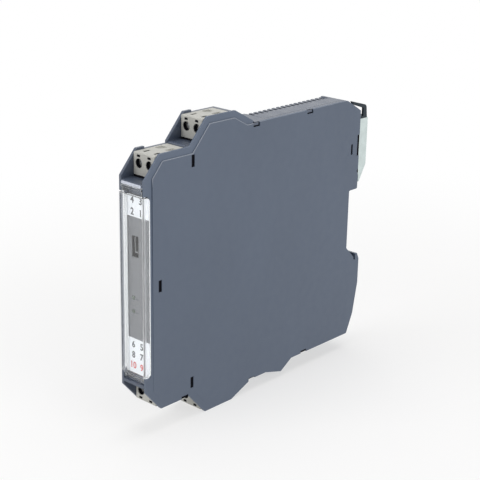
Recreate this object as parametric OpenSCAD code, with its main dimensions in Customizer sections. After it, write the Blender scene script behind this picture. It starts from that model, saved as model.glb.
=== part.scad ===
// Slim rail-mounted signal isolator: a two-tier plastic housing with four
// plug-in terminal blocks, a clear hinged front cover and a sprung metal
// foot catch. Y runs from the front to the rail, Z is up, and the origin is
// the middle of the rail, on the plane where its flanges bear.

/* [Housing] */
// Width of the housing across the flat sides
housing_w = 12.5; // [11.9:0.1:16]
// Depth from the front edge of the sides to the rail plane
body_d = 114; // [112:0.5:130]
// Half height of the straight front edge
front_z = 38; // [37.6:0.1:38.8]
// Half height of the front terminal tier
tier1_z = 46; // [45.6:0.1:46.6]
// Half height of the rear terminal tier, half of the whole height
tier2_z = 55; // [54.6:0.1:56]
// Half height of the vented ridge behind the tiers
ridge_z = 49; // [48:0.1:50]
// Depth at which the front tier's sloped cheek ends
tier1_slope_d = 7; // [6:0.1:8]
// Length of the flat top of each tier
tier_top_l = 14; // [13:0.1:15]
// Distance of the rear tier behind the front tier
tier_step = 22; // [20.5:0.1:24]
// Length of the slope between the rear tier and the ridge
ridge_slope_l = 11; // [9:0.1:13]
// Depth of the bevel between the ridge and the rear edge
shoulder_d = 8.4; // [6:0.1:10]
// Height of the bevel between the ridge and the rear edge
shoulder_h = 5; // [4:0.1:7]
// Thickness of the walls round the housing
wall = 1.2; // [1:0.05:1.4]
// Thickness of the two flat sides, raised field included
side_t = 1.1; // [1:0.05:1.2]
// Length of the full cheek on the far side beside a plug's front
far_cheek_l = 3.6; // [2.5:0.1:5]
// Radius on the corners of the side outline
corner_r = 0.6; // [0.3:0.05:0.7]
// Height of the raised field on the side cover
field_t = 0.2; // [0.1:0.05:0.4]
// Margin between the outline and the raised field at the tiers
field_margin = 2.4; // [1.6:0.1:3]

/* [Rail side] */
// Height of the upper rail bearing edge above the rail centre
seat_top_z = 12.5; // [12:0.1:13.5]
// Depth of the relief between the two bearing edges
relief_depth = 5; // [4.5:0.1:6]
// Distance of the relief's lower end below the rail centre
relief_low_z = 11.4; // [11.2:0.1:12]
// Distance of the shelf under the rail's lower edge below the rail centre
shelf_z = 17.7; // [17.6:0.05:18.2]
// Width of the slot that the rail's flange sits in
flange_slot = 1.1; // [1.05:0.05:1.3]
// Height of the fixed lip behind the rail's lower flange
lip_h = 2.5; // [1.5:0.1:3]
// Thickness of the lip at its tip
lip_tip_t = 1.1; // [0.8:0.05:1.4]
// How far the lower foot reaches past the rail plane
foot_reach = 3.4; // [3.2:0.1:4]
// Distance of the foot's straight edge end below the rail centre
foot_low_z = 28; // [24:0.5:32]
// Distance of the foot's knee below the rail centre
foot_knee_z = 41; // [38:0.5:44]
// How far the foot's knee reaches past the rail plane
foot_knee_reach = 1; // [0.5:0.1:1.5]
// How far the bottom rear corner lies in front of the rail plane
heel_back = 2.5; // [1:0.1:4]
// Depth of the nose's apex on the bottom edge
nose_d = 71; // [68:0.5:74]
// Distance of the nose's apex below the rail centre
nose_z = 52.8; // [51.5:0.1:54]
// Length of the nose's short rear flank
nose_rear_l = 6; // [4:0.5:9]
// Length of the nose's long front flank
nose_front_l = 9; // [6:0.5:12]
// Distance of the bottom edge in front of the nose below the rail centre
chin_z = 50.3; // [49.5:0.1:51]

/* [Terminal plugs] */
// Depth of the front plugs' faces
plug_face_d = 5.5; // [5:0.1:6]
// Length of a plug from its face to its rear
plug_l = 15.3; // [15:0.05:15.6]
// Height of a plug
plug_h = 8.2; // [8:0.05:8.6]
// Running gap between a plug and its pocket
plug_gap = 0.15; // [0.1:0.01:0.2]
// Gap below and behind a plug
plug_seat_gap = 0.3; // [0.2:0.05:0.4]
// Wall of a plug beside a clamp chamber
chamber_wall = 0.46; // [0.4:0.02:0.5]
// Height of the screw axis above the plug's underside
screw_z = 4.5; // [4.4:0.05:4.6]
// Step from the side of the clamp chamber in to the screw hole
screw_hole_step = 0.35; // [0.25:0.05:0.45]
// Depth of the screw hole down to the head's seat
screw_hole_l = 3.4; // [3.2:0.05:3.8]
// Radius of the test hole beside each screw hole
test_hole_r = 0.6; // [0.4:0.05:0.6]
// Distance of the test hole's axis from the plug's outer face
test_hole_drop = 1.1; // [0.9:0.05:1.2]
// Depth of the test hole
test_hole_l = 3; // [2:0.1:4]
// Step from the side of the clamp chamber in to the wire funnel
funnel_step = 0.5; // [0.3:0.1:0.7]
// Length of the wire funnel along the plug at the outer face
funnel_l = 3.4; // [3:0.1:3.8]
// Width of the short slots near the plug's front edge
top_slot_w = 1.1; // [0.8:0.05:1.3]
// Length of the short slots near the plug's front edge
top_slot_l = 2.8; // [2.2:0.1:3.2]
// Depth of the short slots near the plug's front edge
top_slot_t = 1; // [0.8:0.1:1.2]
// Bevel on the plug's long outer edges
plug_bevel = 0.35; // [0.2:0.05:0.5]

/* [Clamp screws] */
// Radial gap round the screw head
head_gap = 0.15; // [0.1:0.01:0.2]
// Height of the screw head
head_l = 1.6; // [1.4:0.05:1.8]
// Radial running gap round the thread and the neck
thread_gap = 0.05; // [0.03:0.01:0.08]
// Gap that frees the screw at its head and tip
screw_end_gap = 0.1; // [0.05:0.01:0.15]
// Width of the driver slot
driver_w = 0.5; // [0.4:0.05:0.7]
// Depth of the driver slot
driver_t = 0.7; // [0.5:0.05:0.9]

/* [Clamp cages] */
// Height of a clamp cage along the wire
cage_h = 3.8; // [3.4:0.05:3.9]
// Thickness of the cage's threaded front wall
cage_front_t = 1.2; // [1:0.05:1.3]
// Thickness of the cage's rear jaw
cage_jaw_t = 1; // [0.8:0.05:1.1]
// Thickness of the cage's side walls
cage_side_t = 0.6; // [0.5:0.05:0.65]
// Clear length inside a clamp cage
cage_window = 3.4; // [3.2:0.05:3.5]
// Travel of the cage from open to closed
cage_travel = 2; // [1.6:0.05:2]
// Gap between a cage and its chamber
cage_gap = 0.2; // [0.15:0.01:0.24]
// Thickness of the fixed contact bar
bar_t = 0.8; // [0.6:0.05:0.85]
// Gap between the open cage's front wall and the contact bar
bar_gap = 0.4; // [0.35:0.05:0.5]
// Thickness of the contact strip over the pin
strip_t = 0.4; // [0.3:0.05:0.45]

/* [Contact pins] */
// Width of a contact pin
pin_w = 1; // [0.8:0.05:1.1]
// Thickness of a contact pin
pin_t = 0.7; // [0.5:0.05:0.75]
// Height of a pin's underside above the plug's underside
pin_z = 0.8; // [0.7:0.05:0.85]
// Length of a pin in front of the pocket's rear wall
pin_reach = 6; // [5:0.1:6.2]
// Gap between a pin and its socket in the plug
pin_gap = 0.15; // [0.1:0.01:0.2]
// Depth of the header block on the board
header_l = 3; // [2.5:0.1:3.5]
// Height of the header block
header_h = 4; // [3.5:0.1:4.4]

/* [Front cover] */
// Half height of the clear front plate
cover_z = 32.3; // [31.8:0.1:32.4]
// How far the cover stands in front of the sides
cover_proud = 0.5; // [0.4:0.05:0.7]
// Thickness of the clear front plate
cover_t = 0.9; // [0.8:0.05:1]
// Thickness of the cover's side flanges
flange_t = 0.8; // [0.6:0.05:0.9]
// Depth of the side flanges behind the edge of the sides
flange_d = 2.3; // [2:0.1:2.6]
// Radius on the flanges' rear corners
flange_r = 1.5; // [1:0.1:2]
// Gap round the side flanges
flange_gap = 0.2; // [0.15:0.05:0.3]
// Gap at the cover's ends that lets it swing
cover_end_gap = 0.4; // [0.35:0.05:0.5]
// Radius of the barrel on the cover's hinge tab
barrel_r = 0.75; // [0.7:0.02:0.8]
// Distance of the hinge axis below the clear plate
hinge_drop = 2; // [1.9:0.05:2.1]
// Depth of the hinge axis behind the front edge of the sides
hinge_d = 0.9; // [0.85:0.02:0.95]
// Radius of the two hinge pins
hinge_pin_r = 0.45; // [0.4:0.01:0.46]
// Radial gap round the hinge pins
hinge_gap = 0.05; // [0.03:0.01:0.08]
// Length of a hinge pin outside the tab
hinge_pin_l = 0.7; // [0.6:0.02:0.72]
// Gap between the hinge tab and the sides
tab_gap = 0.2; // [0.15:0.01:0.25]
// Height of the finger tab above the clear plate
finger_tab_h = 2.9; // [2.4:0.1:3]
// Height of the ledge on the finger tab
ledge_h = 0.8; // [0.6:0.05:1]

/* [Label panel] */
// Depth of the housing's front wall behind the edge of the sides
front_wall_d = 3.7; // [3.4:0.05:4]
// Thickness of the printed panel
panel_t = 1; // [0.8:0.05:1.1]
// Distance of the printed panel from the inside of the sides
panel_margin = 0.4; // [0.2:0.05:0.8]
// Height of the printed panel's top above the rail centre
panel_z = 31.6; // [31:0.1:31.8]
// Distance of the printed panel's lower end below the rail centre
panel_low_z = 33.2; // [32.5:0.1:34]
// Height of the white field at the panel's top
white_top_h = 7.6; // [6:0.1:9]
// Height of the white field at the panel's bottom
white_low_h = 13; // [10:0.1:15]
// Thickness of the white fields
white_t = 0.2; // [0.1:0.02:0.3]
// Height of the programming port
port_h = 7.6; // [7:0.1:8.4]
// Height of the port's middle above the rail centre
port_z = 13.5; // [12:0.1:16]
// Depth of the hollow in the port's socket
port_d = 5; // [4:0.1:6]
// Radius of the two status lamps
lamp_r = 0.75; // [0.6:0.05:0.9]
// Height of the upper lamp below the rail centre
lamp_z = 5.3; // [4:0.1:6]
// Distance between the two lamps
lamp_pitch = 5; // [4:0.1:6]

/* [Vents] */
// Distance of the first vent slot from the ridge's start
vent_start = 8; // [6:0.1:10]
// Distance of the last vent slot from the ridge's end
vent_end = 2.5; // [2:0.1:4]
// Distance of the vent slots from the inside of the side cover
vent_near_gap = 1.7; // [0.8:0.1:2.4]
// Number of slots in the top ridge
vent_top_count = 17; // [10:1:17]
// Number of slots in the bottom ridge
vent_low_count = 9; // [5:1:9]
// Depth of the field that the slots lie in
vent_field_t = 0.3; // [0.1:0.05:0.4]

/* [Foot catch] */
// Distance of the metal catch from the outside of the housing
catch_margin = 0.65; // [0.45:0.05:1]
// Sheet thickness of the metal catch
catch_t = 0.8; // [0.6:0.05:1]
// Depth of the catch behind its running gap
catch_d = 4.8; // [4.5:0.05:5.4]
// Height of the catch's top above the rail centre
catch_top_z = 40.4; // [39:0.1:41]
// Height at which the catch's rear starts to taper
catch_taper_z = 22; // [20:0.1:24]
// Height of the hook's tip above the rail centre
hook_z = 14.9; // [14.5:0.1:15.5]
// Thickness of the hook at its tip
hook_tip_t = 0.6; // [0.5:0.05:0.8]
// Gap between the catch and the rear of the housing
catch_gap = 0.2; // [0.15:0.01:0.3]
// Gap between the hook's step and the rail's upper edge
hook_step_gap = 0.4; // [0.3:0.05:0.6]
// Half height of a standard rail
rail_half_h = 17.5; // [17.5:0.5:17.5]

/* [Catch slider] */
// Half width of the guide rib's neck on the housing
rib_neck = 1.2; // [1:0.05:1.4]
// Half width of the guide rib's head
rib_head = 2.4; // [2:0.05:2.6]
// Depth of the guide rib's neck and of its head
rib_step = 1.2; // [1.1:0.02:1.25]
// Gap between the rib and the slider
rib_gap = 0.25; // [0.2:0.01:0.3]
// Height of the slider inside the catch
slider_h = 16; // [14:0.5:18]
// Thickness of the slider's cap on the catch
cap_t = 0.9; // [0.8:0.05:1.2]
// Width of the pull loop
loop_w = 2.6; // [2:0.1:3.2]
// Thickness of the pull loop's leg
loop_leg_t = 2.4; // [2:0.1:2.8]
// Thickness of the pull loop's arm
loop_arm_t = 1.4; // [1.2:0.05:1.6]
// Height of the pull loop above the cap at the leg
loop_h = 4.2; // [3.8:0.05:4.6]

/* [Circuit board] */
// Gap between the board and the contact pins beside it
board_pin_gap = 0.31; // [0.25:0.01:0.5]
// Gap between the board and the walls
board_gap = 0.5; // [0.3:0.05:0.8]
// Gap between the board and the flat side
board_side_gap = 0.3; // [0.2:0.05:0.4]
// Radius of the pegs that carry the board
peg_r = 1.5; // [1.2:0.1:1.8]
// Radial gap round the pegs
peg_gap = 0.1; // [0.05:0.01:0.2]
// Length of the transformer along the housing
transformer_l = 15; // [12:0.5:18]
// Height of the transformer
transformer_h = 17; // [14:0.5:20]
// Gap between the transformer and the side cover
transformer_gap = 1.5; // [0.9:0.1:2.5]
// Radius of the capacitors
capacitor_r = 3; // [2.5:0.1:3.5]
// Gap between the capacitors and the side cover
capacitor_gap = 2; // [1:0.1:3.5]
// Length of the coupler chips
chip_l = 9.8; // [8:0.1:12]
// Width of the coupler chips
chip_w = 6.4; // [5:0.1:7]
// Thickness of the coupler chips
chip_t = 3.4; // [3:0.1:4]

/* [Hidden] */
$fn = 40;
cut = 0.05; // overrun of a cut past a face

// Slots, notches and marks in the side cover
slot_w = 1; // width of the narrow slots
slot_l = 4.2; // length of the narrow slots
edge_slot_l = 8.4; // length of the slot in the rear edge
edge_slot_t = 0.5; // depth of the slot in the rear edge
dot_r = 0.5; // radius of the round mark in the rear edge
notch_l = 3.4; // length of the notches in the outline
notch_t = 1.3; // height of the notches in the outline

// Small sizes of the plugs and of what sits in the housing
plug_sink = 0.8; // depth of a plug's top below the cheeks
plug_skin = 1.6; // plug wall between the chamber and the top
top_slot_inset = 2.2; // distance of the short slots from the face
socket_wall = 1; // wall round the programming port's hollow
tongue_t = 0.7; // thickness of the tongue in the port
lamp_gap = 0.1; // gap between a lamp and its holes
lamp_foot = 2; // length of a lamp's foot on the board
loop_end_gap = 0.3; // gap between the pull loop and the bevel
header_gap = 0.7; // gap between a header block and the side cover
core_t = 4; // thickness of the transformer's core

// Width of a vent slot as a share of the distance between two
vent_share = 0.44;
// Distance between a plug's poles as a share of its width
pole_share = 0.508;
// Both edges of the programming port, and the lamps' axis, as shares of the
// inside's half width
port_shares = [-0.52, 0.11];
lamp_share = -0.43;

half_w = housing_w / 2;
inner_x = half_w - side_t;
plate_x = half_w - field_t;
plug_w = 2 * (inner_x - plug_gap);
pole_pitch = plug_w * pole_share;
chamber_w = plug_w - pole_pitch - 2 * chamber_wall;
cage_w = chamber_w - 2 * cage_gap;
screw_hole_r = chamber_w / 2 - screw_hole_step;
head_r = screw_hole_r - head_gap;
thread_r = cage_w / 2 - cage_side_t - thread_gap;
funnel_w = chamber_w - 2 * funnel_step;
panel_w = 2 * (inner_x - panel_margin);
port_w = inner_x * (port_shares[1] - port_shares[0]);
port_x = inner_x * port_shares[0] + port_w / 2;
lamp_x = inner_x * lamp_share;
vent_x1 = inner_x - vent_near_gap;
catch_w = 2 * (half_w - catch_margin);
plug_low_z = tier1_z - plug_h - plug_sink;
tier_rise = tier2_z - tier1_z;
tier1_end_d = tier1_slope_d + tier_top_l;
tier2_slope_d = tier1_slope_d + tier_step;
tier2_end_d = tier1_end_d + tier_step;
ridge_start_d = tier2_end_d + ridge_slope_l;
floor_z = plug_low_z - plug_seat_gap;
pocket_d = plug_face_d + plug_l + plug_seat_gap;
foot_d = body_d + foot_reach;
knee_d = body_d + foot_knee_reach;
heel_d = body_d - heel_back;
relief_d = body_d - relief_depth;
ridge_end_d = body_d - shoulder_d;
vents_l = ridge_end_d - vent_end - ridge_start_d - vent_start;
vent_pitch = vents_l / (vent_top_count - 1 + vent_share);
vent_w = vent_pitch * vent_share;
pocket2_d = pocket_d + tier_step;
shoulder_z = ridge_z - shoulder_h;
nose_rear_d = nose_d + nose_rear_l;
nose_front_d = nose_d - nose_front_l;
board_x0 = board_side_gap - inner_x;
board_x1 = -(pole_pitch + pin_w) / 2 - board_pin_gap;
transformer_t = inner_x - transformer_gap - board_x1;
capacitor_l = inner_x - capacitor_gap - board_x1;
hinge_z = -cover_z - hinge_drop;
tab_x = inner_x - tab_gap;
flange_x = half_w - flange_t;
panel_d = front_wall_d - panel_t;
chamber_l = cage_front_t + cage_window + cage_jaw_t + cage_travel + 2 * cage_gap;
chamber_h = cage_h + 2 * cage_gap;
chamber_z = screw_z - chamber_h / 2;
chamber_y = screw_hole_l + wall;
cage_y = chamber_y + cage_gap + cage_travel;
bar_y = cage_y + cage_front_t + bar_gap;
bar_w = cage_w - 2 * cage_side_t - cage_gap;
bar_low_z = pin_z + pin_t + pin_gap;
bar_top_z = screw_z + cage_h / 2 + plug_skin / 2;
screw_tip_y = bar_y - screw_end_gap;
strip_l = plug_l - bar_y - plug_seat_gap;
catch_y = body_d + catch_gap;
catch_rear = catch_y + catch_d;
slider_w = catch_w - 2 * catch_t - catch_gap;
slider_rear = catch_rear - catch_t - catch_gap / 2;
rib_top_z = catch_top_z - cap_t;
rib_low_z = catch_top_z - slider_h - cap_t;

// Places along and up the side, as shares of body_d and tier2_z
latch_slot_shares = [[0.195, 0.745], [0.06, 0], [0.195, -0.745], [0.96, 0.53]];
notch_shares = [[0.472, 0.887], [0.73, 0.883], [0.165, -0.83], [0.475, -0.915], [0.74, -0.883]];
edge_slot_share = 0.55;
dot_share = 0.36;
peg_shares = [[0.16, 0.5], [0.16, -0.5], [0.82, 0.7], [0.82, -0.7]];
capacitor_shares = [[0.3, -0.3], [0.3, -0.5], [0.86, 0]];
chip_shares = [[0.34, 0.3], [0.34, 0.02], [0.66, -0.4]];
transformer_shares = [0.56, 0.22];
// Lean of the pull loop's end face, and how far its arm slopes
loop_lean_share = 0.6;
loop_bend_share = 0.15;

// Corner steps on a rounded outline
corner_steps = 4;

PLUGS = ["front_top", "rear_top", "front_low", "rear_low"];
POLES = ["left", "right"];
PLUG_PARTS = ["plug", "contacts", "header", "pins"];
POLE_PARTS = ["screw", "clamp"];

// Unit vector along a line
function unit(v) = v / norm(v);
// Normal that points into an outline whose points run clockwise
function inward(a, b) = [b.y - a.y, a.x - b.x] / norm(b - a);
// Outline moved inwards by its own distance on each edge
function inset(pts, gaps) = [
    for (i = [0:len(pts) - 1])
        let (
            n = len(pts),
            before = (i + n - 1) % n,
            n1 = inward(pts[before], pts[i]),
            n2 = inward(pts[i], pts[(i + 1) % n]),
            c = n1 * n2,
            g1 = gaps[before],
            g2 = gaps[i]
        )
        pts[i] + ((g1 - g2 * c) * n1 + (g2 - g1 * c) * n2) / (1 - c * c)
];
// Outline with an arc of radius r on each corner
function rounded(pts, r) = [
    for (i = [0:len(pts) - 1])
        let (
            n = len(pts),
            p = pts[i],
            u = unit(pts[(i + n - 1) % n] - p),
            v = unit(pts[(i + 1) % n] - p),
            half = acos(u * v) / 2,
            middle = p + unit(u + v) * r / sin(half),
            a = p + u * r / tan(half) - middle,
            b = p + v * r / tan(half) - middle,
            turn = 180 - 2 * half,
            side = sign(a.x * b.y - a.y * b.x)
        )
        for (k = [0:corner_steps])
            let (w = side * turn * k / corner_steps)
            middle + [a.x * cos(w) - a.y * sin(w), a.x * sin(w) + a.y * cos(w)]
];
// The lower half of a symmetric outline, from its upper points
function mirrored(pts) = [for (i = [len(pts) - 1:-1:0]) [pts[i].x, -pts[i].y]];

tier_pts = [
    [0, front_z],
    [tier1_slope_d, tier1_z],
    [tier1_end_d, tier1_z],
    [tier2_slope_d, tier2_z],
    [tier2_end_d, tier2_z]
];
rear_pts = [
    [ridge_start_d, ridge_z],
    [ridge_end_d, ridge_z],
    [body_d, shoulder_z],
    [body_d, seat_top_z],
    [relief_d, seat_top_z],
    [relief_d, -relief_low_z],
    [body_d, -relief_low_z - relief_depth],
    [body_d, -shelf_z],
    [foot_d, -shelf_z],
    [foot_d, -foot_low_z],
    [knee_d, -foot_knee_z],
    [heel_d, -ridge_z],
    [nose_rear_d, -ridge_z],
    [nose_d, -nose_z],
    [nose_front_d, -chin_z],
    [ridge_start_d, -chin_z]
];
side_pts = concat(tier_pts, rear_pts, mirrored(tier_pts));
// Margin of the raised field along each edge of the side outline
field_gaps = concat(
    [for (i = tier_pts) field_margin],
    [for (i = [0:len(rear_pts) - 2]) 0],
    [for (i = tier_pts) field_margin],
    [flange_d + field_margin / 2]
);
pocket_pts = [
    [front_wall_d, floor_z],
    [pocket_d, floor_z],
    [pocket_d, floor_z + tier_rise],
    [pocket2_d, floor_z + tier_rise]
];
// The tier's rear corner, where the pocket ends in front of it
tier_corner = pocket2_d < tier2_end_d ? [[tier2_end_d, tier2_z]] : [];
core_pts = concat(
    pocket_pts,
    [[pocket2_d, slope_z(pocket2_d)]],
    tier_corner,
    rear_pts,
    mirrored(tier_corner),
    [[pocket2_d, -chin_slope_z(pocket2_d)]],
    mirrored(pocket_pts)
);
board_z1 = floor_z - wall - board_gap;
board_z2 = floor_z + tier_rise - wall - board_gap;
board_pts = [
    [front_wall_d + wall + board_gap, -board_z1],
    [front_wall_d + wall + board_gap, board_z1],
    [pocket_d + wall + board_gap, board_z1],
    [pocket_d + wall + board_gap, board_z2],
    [ridge_end_d - board_gap, board_z2],
    [relief_d - wall - board_gap, shoulder_z - board_gap],
    [relief_d - wall - board_gap, board_gap - shoulder_z],
    [ridge_end_d - board_gap, -board_z2],
    [pocket_d + wall + board_gap, -board_z2],
    [pocket_d + wall + board_gap, -board_z1]
];

// Height of the slope behind the rear tier, at the top and at the bottom
function slope_z(d) = tier2_z - (tier2_z - ridge_z) * max(0, d - tier2_end_d) / ridge_slope_l;
function chin_slope_z(d) = tier2_z - (tier2_z - chin_z) * max(0, d - tier2_end_d) / ridge_slope_l;
// A place on the side from its share of the depth and of the half height
function on_side(share) = [share.x * body_d, share.y * tier2_z];

// Moves depths measured from the front so that the rail plane is at zero
module in_frame() translate([0, -body_d, 0]) children();

// A plate with the outline pts in depth and height, from x0 to x1
module slab(pts, x0, x1) translate([x0, 0, 0]) rotate([90, 0, 90]) linear_extrude(x1 - x0) polygon(pts);

// A box from its lower and its upper corner
module box(low, high) translate(low) cube(high - low);

// A rod along X from x0 to x1
module rod_x(d, z, r, x0, x1) translate([x0, d, z]) rotate([0, 90, 0]) cylinder(r = r, h = x1 - x0);

// A rod along Y from d0 to d1
module rod_y(x, z, r, d0, d1) translate([x, d0, z]) rotate([-90, 0, 0]) cylinder(r = r, h = d1 - d0);

// Puts a plug's parts, modelled face first, at one of the four places
module at_plug(place) {
    rear = place == "rear_top" || place == "rear_low";
    low = place == "front_low" || place == "rear_low";
    offset_d = plug_face_d + (rear ? tier_step : 0);
    offset_z = plug_low_z + (rear ? tier_rise : 0);
    in_frame() mirror([0, 0, low ? 1 : 0]) translate([0, offset_d, offset_z]) children();
}

// Sideways place of a pole
function pole_x(pole) = pole == "left" ? -pole_pitch / 2 : pole_pitch / 2;

// Cut-out for the front cover's flange in one side, from x0 to x1
module flange_cut(x0, x1) {
    reach = flange_d + flange_gap;
    high = cover_z + cover_end_gap;
    box([x0, -cut, -high], [x1, reach - flange_r, high]);
    box([x0, -cut, flange_r - high], [x1, reach, high - flange_r]);
    for (z = [flange_r - high, high - flange_r]) rod_x(reach - flange_r, z, flange_r, x0, x1);
}

// The fixed lip that holds the rail's lower flange, from x0 to x1
module rail_lip(x0, x1) {
    slab([
        [body_d + flange_slot, -shelf_z - lip_h],
        [body_d + flange_slot, lip_h - shelf_z],
        [body_d + flange_slot + lip_tip_t, lip_h - shelf_z],
        [foot_d, -shelf_z],
        [foot_d, -shelf_z - lip_h]
    ], x0, x1);
}

// A row of vent slots in the ridge, cut from z0 to z1
module vent_row(count, start, z0, z1) {
    for (i = [0:count - 1])
        box(
            [-half_w - cut, start + i * vent_pitch, z0],
            [vent_x1, start + i * vent_pitch + vent_w, z1]
        );
}

module main_shell() color("#646e80") in_frame() {
    field_start = ridge_start_d + vent_start - vent_pitch / 2;
    low_start = nose_rear_d + vent_pitch;
    difference() {
        union() {
            slab(rounded(side_pts, corner_r), -half_w, -inner_x);
            difference() {
                slab(rounded(core_pts, corner_r), -inner_x - cut, inner_x);
                slab(inset(core_pts, [for (p = core_pts) wall]), -inner_x - 2 * cut, inner_x + cut);
            }
            rail_lip(-half_w, inner_x);
            for (side = [-1, 1])
                box(
                    [-inner_x - cut, 0, side > 0 ? floor_z - wall : -floor_z],
                    [inner_x, front_wall_d + wall, side > 0 ? floor_z : wall - floor_z]
                );
            for (share = peg_shares)
                rod_x(on_side(share).x, on_side(share).y, peg_r, -inner_x - cut, inner_x);
            guide_rib();
        }
        flange_cut(-half_w - cut, -inner_x);
        for (rear = [0, 1])
            for (low = [0, 1])
                mirror([0, 0, low]) far_cut(rear, low);
        rod_x(hinge_d, hinge_z, hinge_pin_r + hinge_gap, -tab_x - hinge_pin_l - hinge_gap, -inner_x + cut);
        box(
            [-half_w - cut, field_start, ridge_z - vent_field_t],
            [vent_x1 + vent_field_t, field_start + vents_l + vent_pitch, ridge_z + cut]
        );
        vent_row(vent_top_count, ridge_start_d + vent_start, ridge_z - wall - cut, ridge_z + cut);
        vent_row(vent_low_count, low_start, -ridge_z - cut, wall + cut - ridge_z);
        port_hole(front_wall_d - cut, front_wall_d + wall + cut);
        lamp_holes(front_wall_d - cut, front_wall_d + wall + cut);
        for (rear = [0, 1])
            for (low = [0, 1])
                for (pole = POLES)
                    mirror([0, 0, low])
                        pin_box(
                            pole_x(pole), pin_gap,
                            pocket_d + rear * tier_step - cut, pocket_d + rear * tier_step + wall + cut,
                            plug_low_z + rear * tier_rise
                        );
    }
}

// Cut that leaves the far side, and the rear tier's end, flush with a plug's
// top behind the full cheek
module far_cut(rear, low) {
    z = tier1_z + rear * tier_rise;
    start = tier1_slope_d + far_cheek_l + rear * tier_step;
    run = plug_sink * ridge_slope_l / (tier2_z - (low > 0 ? chin_z : ridge_z)) + cut;
    box(
        [-half_w - cut, start, z - plug_sink],
        [inner_x + cut, tier1_end_d + rear * (tier_step + run), z + wall]
    );
}

// A box round a pin, with the gap g, from depth d0 to d1, above z
module pin_box(x, g, d0, d1, z) {
    box([x - pin_w / 2 - g, d0, z + pin_z - g], [x + pin_w / 2 + g, d1, z + pin_z + pin_t + g]);
}

// The rib on the housing's rear wall that guides the catch
module guide_rib() {
    box([-rib_neck, body_d - cut, rib_low_z], [rib_neck, body_d + rib_step + cut, rib_top_z]);
    box([-rib_head, body_d + rib_step, rib_low_z], [rib_head, body_d + 2 * rib_step, rib_top_z]);
}

module port_hole(d0, d1) box(
    [port_x - port_w / 2, d0, port_z - port_h / 2],
    [port_x + port_w / 2, d1, port_z + port_h / 2]
);

module lamp_holes(d0, d1) {
    for (i = [0, 1]) rod_y(lamp_x, -lamp_z - i * lamp_pitch, lamp_r + lamp_gap, d0, d1);
}

module side_cover() color("#687384") in_frame() difference() {
    union() {
        slab(rounded(side_pts, corner_r), inner_x, plate_x);
        slab(rounded(inset(side_pts, field_gaps), corner_r), plate_x - cut, half_w);
        rail_lip(inner_x, half_w);
    }
    flange_cut(inner_x - cut, half_w + cut);
    rod_x(hinge_d, hinge_z, hinge_pin_r + hinge_gap, inner_x - cut, tab_x + hinge_pin_l + hinge_gap);
    for (share = latch_slot_shares) translate([inner_x - cut, on_side(share).x, on_side(share).y])
        translate([0, -slot_w / 2, -slot_l / 2]) cube([side_t + 2 * cut, slot_w, slot_l]);
    for (share = notch_shares) translate([inner_x - cut, on_side(share).x, on_side(share).y])
        translate([0, -notch_l / 2, -notch_t / 2]) cube([side_t + 2 * cut, notch_l, notch_t]);
    translate([inner_x - cut, body_d - edge_slot_t, edge_slot_share * tier2_z - edge_slot_l / 2])
        cube([side_t + 2 * cut, edge_slot_t + cut, edge_slot_l]);
    rod_x(body_d, dot_share * tier2_z, dot_r, plate_x - cut, half_w + cut);
}

// Section of the cover across the housing: a plate with two flanges
module cover_section() difference() {
    union() {
        for (side = [-1, 1]) {
            translate([side * (half_w - cover_t), cover_t - cover_proud]) circle(r = cover_t);
            translate([side > 0 ? flange_x : -half_w, cover_t - cover_proud])
                square([flange_t, flange_d - cover_t + cover_proud]);
        }
        translate([cover_t - half_w, -cover_proud]) square([housing_w - 2 * cover_t, cover_t]);
    }
    translate([-flange_x, cover_t - cover_proud]) square([2 * flange_x, flange_d]);
}

module front_cover() color("#dfe6ea", 0.4) in_frame() {
    high_z = cover_z + finger_tab_h;
    root_z = (cover_z + panel_z) / 2;
    tab_front = cover_t / 2 - cover_proud;
    intersection() {
        translate([0, 0, -cover_z]) linear_extrude(2 * cover_z) cover_section();
        union() {
            box([-half_w, -cover_proud, -cover_z], [half_w, flange_d - flange_r, cover_z]);
            box([-half_w, -cover_proud, flange_r - cover_z], [half_w, flange_d, cover_z - flange_r]);
            for (z = [flange_r - cover_z, cover_z - flange_r])
                rod_x(flange_d - flange_r, z, flange_r, -half_w, half_w);
        }
    }
    box([-tab_x, tab_front, root_z], [tab_x, tab_front + cover_t, high_z]);
    box([-tab_x, -cover_proud, high_z - ledge_h], [tab_x, tab_front + cover_t, high_z]);
    box([-tab_x, tab_front, -cover_z - cover_t], [tab_x, cover_t, -root_z]);
    box([-tab_x, hinge_d - barrel_r, hinge_z], [tab_x, cover_t, -root_z]);
    rod_x(hinge_d, hinge_z, barrel_r, -tab_x, tab_x);
    rod_x(hinge_d, hinge_z, hinge_pin_r, -tab_x - hinge_pin_l, tab_x + hinge_pin_l);
}

module label_panel() color("#8f9093") in_frame() difference() {
    box([-panel_w / 2, panel_d, -panel_low_z], [panel_w / 2, front_wall_d, panel_z]);
    port_hole(panel_d - cut, front_wall_d + cut);
    lamp_holes(panel_d - cut, front_wall_d + cut);
}

module label_top() color("#f2f3f5") in_frame()
    box([-panel_w / 2, panel_d - white_t, panel_z - white_top_h], [panel_w / 2, panel_d, panel_z]);

module label_low() color("#f2f3f5") in_frame() box(
    [-panel_w / 2, panel_d - white_t, -panel_low_z],
    [panel_w / 2, panel_d, white_low_h - panel_low_z]
);

module port_socket() color("#1b1c20") in_frame() {
    front = front_wall_d + wall;
    difference() {
        box(
            [board_x1, front, port_z - port_h / 2 - socket_wall],
            [port_x + port_w / 2, front + port_d, port_z + port_h / 2] + socket_wall * [1, 1, 1]
        );
        port_hole(front - cut, front + port_d);
    }
    box(
        [port_x - tongue_t / 2, front + socket_wall, port_z - port_h / 2 + socket_wall],
        [port_x + tongue_t / 2, front + port_d + cut, port_z + port_h / 2 - socket_wall]
    );
}

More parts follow.
